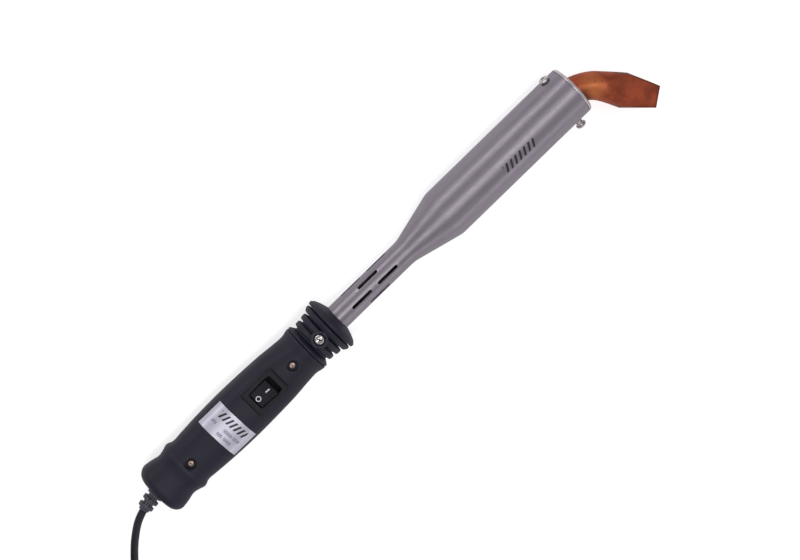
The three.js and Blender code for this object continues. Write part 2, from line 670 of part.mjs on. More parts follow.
// Both cores leave the sheath side by side and pass the rear screw's boss, one on each side.
const leaveSheath = (side) => [
  [wireStart, side * WIRE.apart, 0], [wireStart + WIRE.lead, side * (WIRE.apart + WIRE.spread), 0],
  [rearScrewX - 3, side * 4.8, 0], [rearScrewX + 1, side * roundBoss, 0],
];

function wireLiveIn() {
  const z = terminalEnd + TERMINAL.wireAbove;
  const x = switchX + TERMINAL.endX - TERMINAL.thickness / 2 - GAP - WIRE.radius;
  return strand([
    ...leaveSheath(1), [rearScrewX + 12, 5, -1], [x - 22, 3, z], [x - 6, 1, z], [x, 0, z],
  ], WIRE.radius, 22, 6);
}

function wireSwitched() {
  const z = terminalEnd + TERMINAL.wireAbove;
  const x = switchX + TERMINAL.thickness / 2 + GAP + WIRE.radius;
  const end = spliceX - SPLICE.length / 2 - GAP;
  return strand([
    [x, 0, z], [x + 2.5, 1.5, z], [x + 4.5, 4.8, z + 0.6], [x + 6, spliceY, -4],
    [end - 2, spliceY + 0.3, -0.6], [end, spliceY, 0],
  ], WIRE.radius, 14, 6);
}

function wireNeutral() {
  const end = spliceX - SPLICE.length / 2 - GAP;
  return strand([
    ...leaveSheath(-1), [rearScrewX + 16, -6.6, -1],
    [switchX - 20, -roundSwitch, -1], [switchX, -roundSwitch, -1],
    [end - 1.6, -spliceY, 0], [end, -spliceY, 0],
  ], WIRE.radius, 24, 6);
}

function splice(side) {
  const { length, radius, shoulder, crimp, crimped } = SPLICE;
  const [from, to] = [spliceX - length / 2, spliceX + length / 2];
  return turned([
    [from, 0], [from, radius], [from + shoulder, radius], [from + crimp, radius * crimped],
    [to - crimp, radius * crimped], [to - shoulder, radius], [to, radius], [to, 0],
  ], 12).translate(0, side * spliceY, 0);
}

function heaterLead(side) {
  const bore = LEAD_INSULATOR.y;
  return strand([
    [spliceX + SPLICE.length / 2 + GAP, side * spliceY, 0],
    [spliceX + SPLICE.length / 2 + 1, side * (spliceY - 0.1), 0],
    [HANDLE.length - 7.8, side * (HANDLE_SCREWS.bossRadius + 0.7), 0],
    [HANDLE.length - 6.2, side * (bore + 0.2), 0],
    [insulatorBack - 4, side * bore, 0], [insulatorBack, side * bore, 0],
    [(insulatorBack + insulatorFront) / 2, side * bore, 0], [insulatorFront, side * bore, 0],
    [insulatorFront + 6, side * (bore + 0.2), 0], [discBack - 2, side * DISC.leadY, 0],
    [discBack + DISC.thickness + 1, side * DISC.leadY, 0],
  ], WIRE.leadRadius, 26, 5);
}

// ---------------------------------------------------------------------------------------------
// Collar, barrel and heater
// ---------------------------------------------------------------------------------------------

function collarProfile() {
  const back = HANDLE.length - HANDLE.frontWall - GAP;
  const start = HANDLE.length + GAP;
  const flangeBack = back - COLLAR.flangeThickness;
  const socket = BARREL.neckRadius + GAP;
  const { guardRadius, ribEdge } = COLLAR;
  const ribs = COLLAR.ribs.flatMap(([ribBack, ribFront, low, high, groove]) => {
    const [from, to] = [HANDLE.length + ribBack, HANDLE.length + ribFront];
    return [[from, COLLAR.grooveRadius], [from + ribEdge, low], [to - ribEdge, high], [to, groove]];
  });
  const rim = COLLAR.rim.map(([along, drop]) => [start + along, COLLAR.rimRadius - drop]);
  const nose = COLLAR.nose.map(([behind, drop]) => [collarFront - behind, guardRadius - drop]);
  const [crestAlong, crestDrop] = COLLAR.crestStep;
  const guardBack = HANDLE.length + COLLAR.guardBack;
  const guardCrest = HANDLE.length + COLLAR.guardCrest;
  const socketBack = HANDLE.length + COLLAR.socketBack;
  return [
    [flangeBack, COLLAR.wireBore], [flangeBack, COLLAR.flangeRadius], [back, COLLAR.flangeRadius],
    [back, COLLAR.spigotRadius], [start, COLLAR.spigotRadius], ...rim, ...ribs,
    [guardBack - ribEdge, COLLAR.guardGroove], [guardBack, guardRadius - COLLAR.guardChamfer],
    [guardCrest, guardRadius], [guardCrest + crestAlong, guardRadius - crestDrop], ...nose,
    [collarFront, socket],
    [socketBack, socket], [socketBack, COLLAR.wireBore], [flangeBack, COLLAR.wireBore],
  ];
}

function collar() {
  const { screwBossRadius, screwBossTop, screwRecess, screwSeat: seatDepth } = COLLAR;
  const screwX = collarScrewX;
  const socket = BARREL.neckRadius + GAP;
  const body = join(turned(collarProfile(), 32), post(screwX, 0, screwBossRadius, socket + 1, screwBossTop, 18));
  return cut(
    body,
    post(screwX, 0, screwRecess, screwBossTop - seatDepth, BEYOND, 20),
    post(screwX, 0, SCREW_SIZES.collar.shankRadius + GAP, 0, BEYOND, 16),
  );
}

function collarScrew() {
  return screw(SCREW_SIZES.collar, 16).translate(collarScrewX, 0, COLLAR.screwBossTop - COLLAR.screwSeat + GAP);
}

function ventSlots() {
  const cutters = [];
  for (let row = 0; row < VENTS.rows; row += 1) {
    const turn = rad(VENTS.turn + (360 / VENTS.rows) * row);
    for (const along of row % 2 === 0 ? VENTS.pair : VENTS.single) {
      const slot = plate(
        VENTS.length, VENTS.width, VENTS.width / 2 - 0.01, BARREL.neckRadius - 2, BARREL.neckRadius + 2, 2);
      cutters.push(slot.translate(collarFront + along, 0, 0).rotateX(-turn));
    }
  }
  return cutters;
}

// Places a piece drawn along Z on the clamp screws' line; side 1 is the upper screw, -1 the lower one.
function onClampLine(geometry, side) {
  return geometry.rotateX(-rad(CLAMP_SCREWS.fromTop) + (side < 0 ? Math.PI : 0)).translate(clampX, 0, 0);
}

function clampHoles(radius) {
  return [1, -1].map((side) => onClampLine(post(0, 0, radius, BIT.radius - 2, barrelRadius + 4, 16), side));
}

function barrelShell() {
  const { wall, neckRadius } = BARREL;
  const radius = barrelRadius;
  const slope = (radius - neckRadius) / (coneFront - neckFront);
  const eased = neckRadius + BARREL.coneEase * slope;
  const profile = [
    [neckBack, neckRadius - wall], [neckBack, neckRadius], [neckFront - BARREL.flareBefore, neckRadius],
    [neckFront, neckRadius + BARREL.flare], [neckFront + BARREL.coneEase, eased],
    [coneFront - BARREL.shoulderBefore, radius - BARREL.shoulderDrop], [coneFront, radius], [barrelFront, radius],
    [barrelFront, radius - wall], [coneFront + BARREL.innerLag, radius - wall],
    [neckFront + BARREL.coneEase + BARREL.innerLag, eased - wall],
    [neckFront - BARREL.innerFlareBefore, neckRadius - wall], [neckBack, neckRadius - wall],
  ];
  const screwHole = post(collarScrewX, 0, SCREW_SIZES.collar.shankRadius + GAP, 0, neckRadius + 3, 16);
  return cut(turned(profile, 32), ...ventSlots(), ...clampHoles(SCREW_SIZES.clamp.shankRadius + GAP), screwHole);
}

function frontCap() {
  const front = barrelFront + CAP.proud;
  const outer = barrelRadius - BARREL.wall - GAP;
  const seat = barrelFront + GAP;
  return cut(turned([
    [capBack, sleeveBore], [capBack, outer], [seat, outer], [seat, barrelRadius], [seat + CAP.lip, barrelRadius],
    [front, barrelRadius - CAP.frontChamfer], [front, sleeveBore + CAP.mouth],
    [barrelFront - CAP.flare, sleeveBore], [capBack, sleeveBore],
  ], 32), ...clampHoles(SCREW_SIZES.clamp.shankRadius + GAP));
}

function clampScrew(side) {
  const out = side > 0 ? 0 : CLAMP_SCREWS.lowerBackedOut;
  const underHead = barrelRadius + GAP + out;
  const length = barrelRadius - BIT.radius;
  return onClampLine(screw({ ...SCREW_SIZES.clamp, length }, 16).translate(0, 0, underHead), side);
}

function heaterWinding() {
  const steps = HEATER.turns * 12;
  const [from, to] = [heaterBack + HEATER.endMargin, heaterFront - HEATER.endMargin];
  const ring = (i) => {
    const angle = (i * TAU) / 12;
    const x = from + ((to - from) * i) / steps;
    const outward = new THREE.Vector3(0, Math.sin(angle), Math.cos(angle));
    const [thick, wide] = [HEATER.ribbonThickness / 2, HEATER.ribbonWidth / 2];
    return [[-wide, -thick], [wide, -thick], [wide, thick], [-wide, thick]].map(([along, out]) =>
      new THREE.Vector3(x + along, 0, 0).addScaledVector(outward, windingRadius + out));
  };
  return loft(Array.from({ length: steps + 1 }, (_, i) => ring(i)).toReversed());
}

function rearDisc() {
  const disc = bar(discBack, discBack + DISC.thickness, discRadius, 32);
  const holes = [-1, 1].map((side) =>
    bar(discBack - 1, discBack + DISC.thickness + 1, DISC.leadHole, 12).translate(0, side * DISC.leadY, 0));
  return cut(disc, ...holes);
}

function leadInsulator(side) {
  const { bore, radius, y } = LEAD_INSULATOR;
  return tube(insulatorBack, insulatorFront, bore, radius, 12).translate(0, side * y, 0);
}

function copperBit() {
  const round = (x) => ({ x, halfWidth: BIT.radius, halfHeight: BIT.radius });
  const end = BIT_STATIONS.map(([x, y, heading, wider, exponent]) =>
    ({ x: barrelFront + x, y, heading, halfWidth: BIT.radius + wider / 2, halfHeight: bitHeight / 2, exponent }));
  const small = BIT.radius - BIT.chamfer;
  const butt = { x: bitBack, halfWidth: small, halfHeight: small };
  const stations = [butt, round(bitBack + BIT.chamfer), round(barrelFront - BIT.straightEnd), ...end];
  return common(loft(stations.map((station) => sectionRing(station, 28))), bitWedge());
}

// The space between the two flats' planes, drawn along X from the end edge and then swung to its heading.
function bitWedge() {
  const [x, y] = BIT_STATIONS.at(-1);
  const { length, heading, edgeThickness } = BIT_FLATS;
  const rise = (bitHeight - edgeThickness) / 2 / length;
  const [ahead, behind] = [1, length + bitInside * 2];
  const upper = [[ahead, edgeThickness / 2 - ahead * rise], [-behind, edgeThickness / 2 + behind * rise]];
  const corners = [...upper, ...upper.toReversed().map(([along, up]) => [along, -up])];
  const side = new THREE.Shape(corners.map((corner) => new THREE.Vector2(...corner)));
  const breadth = bitInside * 3;
  return new THREE.ExtrudeGeometry(side, { depth: breadth, bevelEnabled: false })
    .rotateX(Math.PI / 2).translate(0, breadth / 2, 0).rotateZ(rad(heading)).translate(barrelFront + x, y, 0);
}

// ---------------------------------------------------------------------------------------------
// Free cord, coil and plug, lying on the surface under the iron
// ---------------------------------------------------------------------------------------------

const surfaceZ = -COLLAR.guardRadius;
const pitch = CORD.diameter + COIL.slack;
const layerZ = (layer) => surfaceZ + COIL.lift + cordRadius + layer * pitch;

function cordTube() {
  const exit = reliefPoint(RELIEF.length + CORD.sheathGap);
  const [stepX, stepY, stepZ] = CORD_EXIT_STEP;
  const start = [[exit.x, exit.y, 0], [exit.x + stepX, exit.y + stepY, stepZ]];
  return strand([...start, ...CORD_ROUTE], cordRadius, 16, 8);
}

function coilProfile() {
  const half = cordRadius;
  const outer = COIL.within - half;
  const inner = outer - (COIL.lowTurns - 1) * pitch - CORD.diameter;
  const step = outer - COIL.highTurns * pitch;
  const bottom = layerZ(0) - half;
  const middle = layerZ(COIL.lowLayers - 1) + half;
  const top = layerZ(COIL.lowLayers + COIL.highLayers - 1) + half;
  return { inner, outer, step, bottom, middle, top };
}

function cordCoil() {
  const { inner, outer, step, bottom, middle, top } = coilProfile();
  const profile = [
    [inner, bottom], [outer, bottom], [outer, top], [step, top], [step, middle], [inner, middle], [inner, bottom],
  ].map(([radius, z]) => new THREE.Vector2(radius, z));
  return new THREE.LatheGeometry(profile, 36).rotateX(Math.PI / 2).translate(COIL.x, COIL.y, 0);
}

function cordTie() {
  const { inner, outer, bottom, top } = coilProfile();
  const { wall, width, clearance, angle, corner, holeCorner } = TIE;
  const [holeIn, holeOut] = [inner - 2 * clearance, outer + clearance];
  const [low, high] = [bottom - clearance, top + clearance];
  const [length, height] = [holeOut - holeIn, high - low];
  const band = cut(
    plate(length + 2 * wall, height + 2 * wall, corner, -width / 2, width / 2),
    plate(length, height, holeCorner, -width, width),
  );
  return band.rotateX(Math.PI / 2).translate((holeIn + holeOut) / 2, 0, (low + high) / 2)
    .rotateZ(rad(angle)).translate(COIL.x, COIL.y, 0);
}

const plugZ = surfaceZ + PLUG.thickness / 2 + PLUG.rest;

function cordTubeToPlug() {
  const end = PLUG.x + CORD.sheathGap;
  return strand([
    ...PLUG_ROUTE, [end + CORD.straight, PLUG.y, plugZ], [end, PLUG.y, plugZ],
  ], cordRadius, 10, 8);
}

const plugBodyBack = PLUG.x - PLUG.bootLength - PLUG.shoulder;
const plugFace = plugBodyBack - PLUG.bodyLength;

function plugBody() {
  const [wide, thick, boot] = [PLUG.width / 2, PLUG.thickness / 2, PLUG.bootRadius];
  const flared = boot + PLUG.bootFlare;
  const ringsFrom = (start, rings) => rings.map(([behind, inWide, inThick, exponent]) =>
    [start - behind, wide - inWide, thick - inThick, exponent]);
  const stations = [
    [PLUG.x, boot, boot, 2], [PLUG.x - PLUG.bootLength, flared, flared, 2.2],
    ...ringsFrom(plugBodyBack, PLUG.backRings), ...ringsFrom(plugFace, PLUG.faceRings),
  ];
  const body = loft(stations.toReversed().map(([x, halfWidth, halfHeight, exponent]) =>
    sectionRing({ x, y: PLUG.y, z: plugZ, halfWidth, halfHeight, exponent }, 24)));
  return cut(body, plugBlade(1, GAP), plugBlade(-1, GAP));
}

function plugBlade(side, grow = 0) {
  const y = PLUG.y + (side * PLUG.bladeSpacing) / 2;
  const [halfThick, halfWide] = [PLUG.bladeThickness / 2 + grow, PLUG.bladeWidth / 2 + grow];
  return block(
    [plugFace - PLUG.bladeLength - grow, y - halfThick, plugZ - halfWide],
    [plugFace + PLUG.bladeSocket + grow, y + halfThick, plugZ + halfWide],
  );
}

// ---------------------------------------------------------------------------------------------
// Materials and assembly
// ---------------------------------------------------------------------------------------------

const finish = (color, roughness, metalness = 0) => ({ color, roughness, metalness });
const FINISHES = {
  handlePlastic: finish('#26252c', 0.6),
  switchPlastic: finish('#1e1e22', 0.45),
  rubber: finish('#2a2930', 0.7),
  steel: finish('#8f8a92', 0.35, 1),
  brightSteel: finish('#c9c7cc', 0.25, 1),
  bronzedSteel: finish('#8d7468', 0.4, 1),
  copper: finish('#a05a34', 0.45, 1),
  brass: finish('#c9a24e', 0.35, 1),
  ceramic: finish('#e9e2d2', 0.6),
  mica: finish('#b9a98a', 0.4),
  fibre: finish('#e3e0d8', 0.95),
  nichrome: finish('#77706c', 0.5, 1),
  foil: finish('#cfcde0', 0.35, 0.4),
  liveWire: finish('#7a3f22', 0.5),
  neutralWire: finish('#2f5fa8', 0.5),
};

function piece(name, geometry, finishName) {
  const mesh = new THREE.Mesh(geometry, new THREE.MeshStandardMaterial(FINISHES[finishName]));
  mesh.name = name;
  return mesh;
}

const shells = handleShells();
const iron = new THREE.Group();
iron.add(
  piece('handle_upper_shell', shells.upper, 'handlePlastic'),
  piece('handle_lower_shell', shells.lower, 'handlePlastic'),
  piece('handle_screw_rear', handleScrew(rearScrewX), 'bronzedSteel'),
  piece('handle_screw_front', handleScrew(frontScrewX), 'bronzedSteel'),
  piece('label', label(), 'foil'),
  piece('switch_housing', switchHousing(), 'switchPlastic'),
  piece('switch_rocker', switchRocker(), 'switchPlastic'),
  piece('switch_plunger', switchPlunger(), 'brass'),
  piece('switch_spring', switchSpring(), 'brightSteel'),
  piece('switch_contact_blade', contactBlade(), 'brass'),
  piece('switch_terminal_middle', terminalBlade(0).translate(switchX, 0, 0), 'brass'),
  piece('switch_terminal_end', terminalBlade(TERMINAL.endX).translate(switchX, 0, 0), 'brass'),
  piece('strain_relief', strainRelief(), 'rubber'),
  piece('cord_clamp_bar', clampBar(), 'handlePlastic'),
  piece('cord_clamp_screw_left', clampBarScrew(1), 'brightSteel'),
  piece('cord_clamp_screw_right', clampBarScrew(-1), 'brightSteel'),
  piece('cord_inside_handle', cordInside(), 'rubber'),
  piece('wire_live_in', wireLiveIn(), 'liveWire'),
  piece('wire_live_switched', wireSwitched(), 'liveWire'),
  piece('wire_neutral', wireNeutral(), 'neutralWire'),
  piece('splice_live', splice(1), 'brass'),
  piece('splice_neutral', splice(-1), 'brass'),
  piece('collar', collar(), 'handlePlastic'),
  piece('collar_screw', collarScrew(), 'brightSteel'),
  piece('barrel_shell', barrelShell(), 'steel'),
  piece('lead_insulator_live', leadInsulator(1), 'ceramic'),
  piece('lead_insulator_neutral', leadInsulator(-1), 'ceramic'),
  piece('heater_lead_live', heaterLead(1), 'nichrome'),
  piece('heater_lead_neutral', heaterLead(-1), 'nichrome'),
  piece('ceramic_rear_disc', rearDisc(), 'ceramic'),
  piece('bit_sleeve', tube(
    heaterBack - HEATER.sleeveBack, heaterFront, sleeveBore, sleeveOuter), 'steel'),
  piece('mica_inner', tube(heaterBack, heaterFront, micaInnerBore, micaInnerBore + HEATER.micaWall), 'mica'),
  piece('heater_winding', heaterWinding(), 'nichrome'),
  piece('mica_outer', tube(heaterBack, heaterFront, micaOuterBore, micaOuterBore + HEATER.micaWall), 'mica'),
  piece('fibre_insulation', tube(heaterBack, heaterFront, fibreBore, discRadius), 'fibre'),
  piece('ceramic_front_ring', tube(
    frontRingBack, capBack - GAP, sleeveBore, discRadius), 'ceramic'),
  piece('front_cap', frontCap(), 'steel'),
  piece('clamp_screw_upper', clampScrew(1), 'brightSteel'),
  piece('clamp_screw_lower', clampScrew(-1), 'brightSteel'),
  piece('copper_bit', copperBit(), 'copper'),
);

const freeCord = new THREE.Group();
freeCord.add(
  piece('cord_tube', cordTube(), 'rubber'),
  piece('cord_coil', cordCoil(), 'rubber'),
  piece('cord_tie', cordTie(), 'rubber'),
  piece('cord_tube_to_plug', cordTubeToPlug(), 'rubber'),
  piece('plug_body', plugBody(), 'rubber'),
  piece('plug_blade_left', plugBlade(-1), 'brass'),
  piece('plug_blade_right', plugBlade(1), 'brass'),
);

const bounds = new THREE.Box3().setFromObject(iron, true);
const middle = bounds.getCenter(new THREE.Vector3());
const model = new THREE.Group();
model.add(iron, freeCord);
model.position.set(-middle.x, -middle.y, -bounds.min.z);

export default model;
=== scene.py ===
import logging
import math
from dataclasses import dataclass
from enum import Enum
from typing import Callable, Iterable, Sequence

import bmesh
import bpy
from mathutils import Matrix, Vector


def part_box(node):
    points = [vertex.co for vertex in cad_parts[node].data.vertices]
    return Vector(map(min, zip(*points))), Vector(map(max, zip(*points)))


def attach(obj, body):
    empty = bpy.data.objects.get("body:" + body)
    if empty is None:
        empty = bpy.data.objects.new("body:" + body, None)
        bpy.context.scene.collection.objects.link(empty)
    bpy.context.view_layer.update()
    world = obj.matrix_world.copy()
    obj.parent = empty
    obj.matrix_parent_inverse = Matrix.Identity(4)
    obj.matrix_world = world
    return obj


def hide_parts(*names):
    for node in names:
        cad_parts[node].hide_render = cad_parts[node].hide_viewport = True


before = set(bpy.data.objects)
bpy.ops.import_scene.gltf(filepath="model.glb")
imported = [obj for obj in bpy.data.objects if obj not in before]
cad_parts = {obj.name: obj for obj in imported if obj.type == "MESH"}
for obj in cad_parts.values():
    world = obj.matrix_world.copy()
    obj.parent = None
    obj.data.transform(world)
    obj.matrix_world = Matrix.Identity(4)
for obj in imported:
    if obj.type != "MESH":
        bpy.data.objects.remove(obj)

# A corded soldering iron with a bent copper bit. Shapes are drawn in the iron's own millimetres:
# X runs from the back of the handle towards the bit, Z is up through the switch, and the axis is
# y = z = 0. Shape.piece() moves each finished mesh into the row frame, in metres.

LOG = logging.getLogger("soldering_iron")
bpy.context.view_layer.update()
MM = 0.001
GAP = 0.3
INK_LIFT = 0.05
WORN_ANGLE = math.radians(70)
SAME = 1e-4
MIX_FIRST, MIX_SECOND, MIX_RESULT = 6, 7, 2

Tree = bpy.types.NodeTree
Socket = bpy.types.NodeSocket


class Body(str, Enum):
    """The bodies that pieces ride on."""

    IRON = "iron_body"
    ROCKER = "rocker"
    UPPER_SCREW = "upper_clamp_screw"
    LOWER_SCREW = "lower_clamp_screw"
    BIT = "bit"


class Boolean(str, Enum):
    """How one closed shape acts on another."""

    CUT = "DIFFERENCE"
    JOIN = "UNION"
    COMMON = "INTERSECT"


# ------------------------------------------------------------------------------------------------
# Finishes
# ------------------------------------------------------------------------------------------------


def linear(colour: str) -> tuple[float, float, float, float]:
    """Turns an sRGB hex colour to linear values.

    Args:
        colour: Six hex digits after a hash.

    Returns:
        Red, green, blue and alpha, from 0 to 1.
    """
    parts = [int(colour[i : i + 2], 16) / 255 for i in (1, 3, 5)]
    return tuple(c / 12.92 if c <= 0.04045 else ((c + 0.055) / 1.055) ** 2.4 for c in parts) + (1.0,)


def add(tree: Tree, kind: str, inputs: dict | None = None, **settings) -> bpy.types.Node:
    """Adds a node, sets its properties and fills or links its inputs.

    Args:
        tree: The material's node tree.
        kind: The node's type.
        inputs: Input names or numbers, each with a value or an output socket to link.
        **settings: Properties of the node.

    Returns:
        The new node.
    """
    made = tree.nodes.new(kind)
    for name, value in settings.items():
        setattr(made, name, value)
    for key, value in (inputs or {}).items():
        if isinstance(value, Socket):
            tree.links.new(value, made.inputs[key])
        else:
            made.inputs[key].default_value = value
    return made


def blend(tree: Tree, share: Socket, first: Socket | str, second: str) -> Socket:
    """Blends one colour into another.

    Args:
        tree: The material's node tree.
        share: 0 for the first colour and 1 for the second.
        first: A colour's output socket, or a hex colour.
        second: A hex colour.

    Returns:
        The colour's output socket.
    """
    start = linear(first) if isinstance(first, str) else first
    inputs = {"Factor": share, MIX_FIRST: start, MIX_SECOND: linear(second)}
    return add(tree, "ShaderNodeMix", inputs, data_type="RGBA").outputs[MIX_RESULT]


def ramp(tree: Tree, value: Socket, low: float, high: float, start: float = 0.0, end: float = 1.0) -> Socket:
    """Takes a value from low to high over to a value from start to end, and holds it beyond them."""
    inputs = {"Value": value, "From Min": low, "From Max": high, "To Min": start, "To Max": end}
    return add(tree, "ShaderNodeMapRange", inputs).outputs["Result"]


def attribute(tree: Tree, name: str) -> Socket:
    """Reads a point attribute."""
    return add(tree, "ShaderNodeAttribute", attribute_name=name).outputs["Fac"]


@dataclass(frozen=True)
class Finish:
    """A surface: its colours, gloss, grain and wear. Sizes are real ones, in millimetres."""

    name: str
    base: str
    deep: str
    worn: str
    patch: float = 12.0
    patch_amount: float = 0.6
    metallic: float = 0.0
    roughness: float = 0.5
    roughness_spread: float = 0.08
    grain: float = 0.5
    grain_height: float = 0.02
    stretch: tuple[float, float, float] = (1.0, 1.0, 1.0)
    wear_gloss: float = 0.12
    specular: float = 0.5
    chip: float = 2.0
    smear: float = 1.7

    def noise(self, tree: Tree, coords: Socket, size: float, detail: float = 4.0) -> Socket:
        """A cloudy pattern with patches of a given size.

        Args:
            tree: The material's node tree.
            coords: Where the pattern is read.
            size: Size of the patches in millimetres.
            detail: Octaves of finer noise.

        Returns:
            The pattern's output socket, about 0.5 in the mean.
        """
        inputs = {"Vector": coords, "Scale": 1 / (size * MM), "Detail": detail, "Roughness": 0.55}
        return add(tree, "ShaderNodeTexNoise", inputs).outputs["Fac"]

    def colour(self, tree: Tree, coords: Socket, wear: Socket) -> Socket:
        """Two shades in clouds, and the worn colour along the edges.

        Args:
            tree: The material's node tree.
            coords: Where the patterns are read.
            wear: 1 on sharp edges and 0 on open faces.

        Returns:
            The colour's output socket.
        """
        clouds = ramp(tree, self.noise(tree, coords, self.patch), 0.3, 0.7, end=self.patch_amount)
        shade = blend(tree, clouds, self.base, self.deep)
        chips = self.noise(tree, coords, self.chip)
        rubbed = add(tree, "ShaderNodeMath", {0: wear, 1: chips}, operation="MULTIPLY")
        return blend(tree, rubbed.outputs[0], shade, self.worn)

    def build(self) -> bpy.types.Material:
        """Makes the material once, and returns it.

        Returns:
            The material.
        """
        found = bpy.data.materials.get(self.name)
        if found:
            return found
        material = bpy.data.materials.new(self.name)
        material.use_nodes = True
        tree = material.node_tree
        shader = tree.nodes["Principled BSDF"]
        shader.inputs["Metallic"].default_value = self.metallic
        if not self.metallic:
            shader.inputs["Specular IOR Level"].default_value = self.specular
        place = add(tree, "ShaderNodeTexCoord").outputs["Object"]
        drawn_out = {"Vector": place, "Scale": self.stretch}
        grain_place = add(tree, "ShaderNodeMapping", drawn_out).outputs["Vector"]
        wear = attribute(tree, "wear")
        tree.links.new(self.colour(tree, grain_place, wear), shader.inputs["Base Color"])
        grain = self.noise(tree, grain_place, self.grain, 3.0)
        smears = self.noise(tree, place, self.patch * self.smear)
        cloudy = add(tree, "ShaderNodeMath", {0: grain, 1: smears}, operation="ADD")
        smoothest, roughest = self.roughness - self.roughness_spread, self.roughness + self.roughness_spread
        rough = ramp(tree, cloudy.outputs[0], 0.6, 1.4, smoothest, roughest)
        polished = add(tree, "ShaderNodeMath", {0: wear, 1: -self.wear_gloss, 2: rough},
                       operation="MULTIPLY_ADD", use_clamp=True)
        tree.links.new(polished.outputs[0], shader.inputs["Roughness"])
        height = {"Height": grain, "Distance": self.grain_height * MM, "Strength": 1.0}
        bump = add(tree, "ShaderNodeBump", height)
        tree.links.new(bump.outputs["Normal"], shader.inputs["Normal"])
        return material


@dataclass(frozen=True)
class OxidisedCopper(Finish):
    """Forged copper that has been hot, in brown clouds, with a painted orange highlight on the bend and dark
    edges of scale and painted shade.
    """

    # The colour of the painted highlight on the bend.
    bright: str = "#e0824a"
    # The dark colour of the scale and painted shade on the edges.
    scale_and_shade_colour: str = "#4a2418"
    speck: float = 1.1

    def colour(self, tree: Tree, coords: Socket, wear: Socket) -> Socket:
        """Brown and orange clouds, drawn out along the bit, with dark edges of scale and painted shade, and a
        painted highlight on the bend.

        Args:
            tree: The material's node tree.
            coords: Where the patterns are read.
            wear: 1 on sharp edges and 0 on open faces; not used here.

        Returns:
            The colour's output socket.
        """
        clouds = ramp(tree, self.noise(tree, coords, self.patch, 5.0), 0.36, 0.66)
        body = blend(tree, clouds, self.base, self.deep)
        # Painted highlight: bright orange on the bend.
        glow = blend(tree, attribute(tree, "bend"), body, self.bright)
        # Dark scale and painted shade on the edges, with speckles of scale.
        shade = attribute(tree, "scale_and_shade")
        speckle = ramp(tree, self.noise(tree, coords, self.speck), 0.6, 0.75, end=0.45)
        scale_and_shade = add(tree, "ShaderNodeMath", {0: shade, 1: speckle}, operation="MAXIMUM")
        return blend(tree, scale_and_shade.outputs[0], glow, self.scale_and_shade_colour)


# Moulded phenolic, bead-blasted in the mould: near black, faintly blue, with a fine matte grain.
HANDLE_PLASTIC = Finish(
    "moulded_black_phenolic", "#1a182c", "#211f34", "#39374a", 18, 0.7, 0, 0.55, 0.07, 0.35, 0.012)
# Injection-moulded nylon in a polished mould: blacker and smoother than the handle.
SWITCH_PLASTIC = Finish(
    "moulded_switch_nylon", "#0d0d16", "#12121c", "#282834", 9, 0.5, 0, 0.68, 0.06, 0.3, 0.006)
# Pad-printed white ink, a little uneven where the pad lifted.
WHITE_INK = Finish(
    "pad_printed_white_ink", "#f4f6ff", "#dfe2f0", "#ffffff", 1.2, 0.6, 0, 0.5, 0.05, 0.2, 0.004)
# Soft PVC sheath and boot: black, extruded, slightly waxy.
SOFT_PVC = Finish("extruded_black_pvc", "#1d1c26", "#272632", "#4c4a58", 10, 0.6, 0, 0.46, 0.08, 0.6, 0.01)
# The boot is a paler PVC than the sheath, and the pale colour on its ribs' edges is a painted highlight.
BOOT_PVC = Finish("boot_pvc_painted_edge_highlight", "#3e3b48", "#2b2933", "#d4d1df", 4, 0.7, 0, 0.46, 0.08, 0.6, 0.01)
# Stainless tube brushed lengthwise: long fine scratches, pale lilac grey.
BRUSHED_STEEL = Finish(
    "brushed_stainless_tube", "#a9a1ab", "#978f99", "#c8c0cc", 1.6, 0.5, 1, 0.42, 0.07, 0.45, 0.006,
    (0.035, 1, 1), 0.05)
# The end cap is pressed from the same sheet and left satin; its colour is painted far lighter than the
# tube's, a painted highlight for the pale light on its rolled rim.
SATIN_STEEL = Finish(
    "satin_pressed_cap", "#eae0e5", "#cfc5cb", "#fbf4f8", 5, 0.5, 1, 0.42, 0.06, 0.4, 0.005)
# Nickel-plated steel screws: bright, with soft scratches.
NICKEL_PLATE = Finish(
    "bright_nickel_plate", "#e6e0de", "#c2bab8", "#ffffff", 1.5, 0.6, 1, 0.24, 0.08, 0.3, 0.004)
# Yellow-zinc steel self-tappers, browned by handling.
BRONZED_STEEL = Finish(
    "browned_zinc_screws", "#dcc3b8", "#a5897b", "#efddd4", 0.9, 0.8, 1, 0.36, 0.1, 0.3, 0.006)
# Painted shade: a dark finish on the walls and floor of a screw's recess, for the shade that falls into the
# cross.
RECESS_PAINTED_SHADE = Finish(
    "painted_shade_screw_recess", "#2b2625", "#1d1a1a", "#57504d", 1, 0.6, 0.6, 0.5, 0.1, 0.3, 0.006)
# Aluminised polyester label: a soft silver-lilac sheen.
LABEL_FOIL = Finish(
    "silver_polyester_label", "#e9e7f4", "#d9d7ea", "#f6f5ff", 7, 0.6, 0.35, 0.36, 0.05, 0.5, 0.003)
# Dark ink on the label and on the barrel.
DARK_INK = Finish(
    "screen_printed_dark_ink", "#2b2730", "#37313a", "#4c4650", 2, 0.6, 0, 0.45, 0.06, 0.3, 0.003)
GREY_INK = Finish(
    "screen_printed_grey_ink", "#8f8fa6", "#a3a3b8", "#b4b4c6", 1, 0.8, 0, 0.45, 0.06, 0.3, 0.003)
# Copper bar, forged, bent hot and oxidised by use.
COPPER = OxidisedCopper(
    "heat_oxidised_copper", "#c45c38", "#96452b", "#5a281b", 5, 0.8, 0.5, 0.46, 0.1, 0.8, 0.03,
    (0.6, 0.6, 1), 0.0)
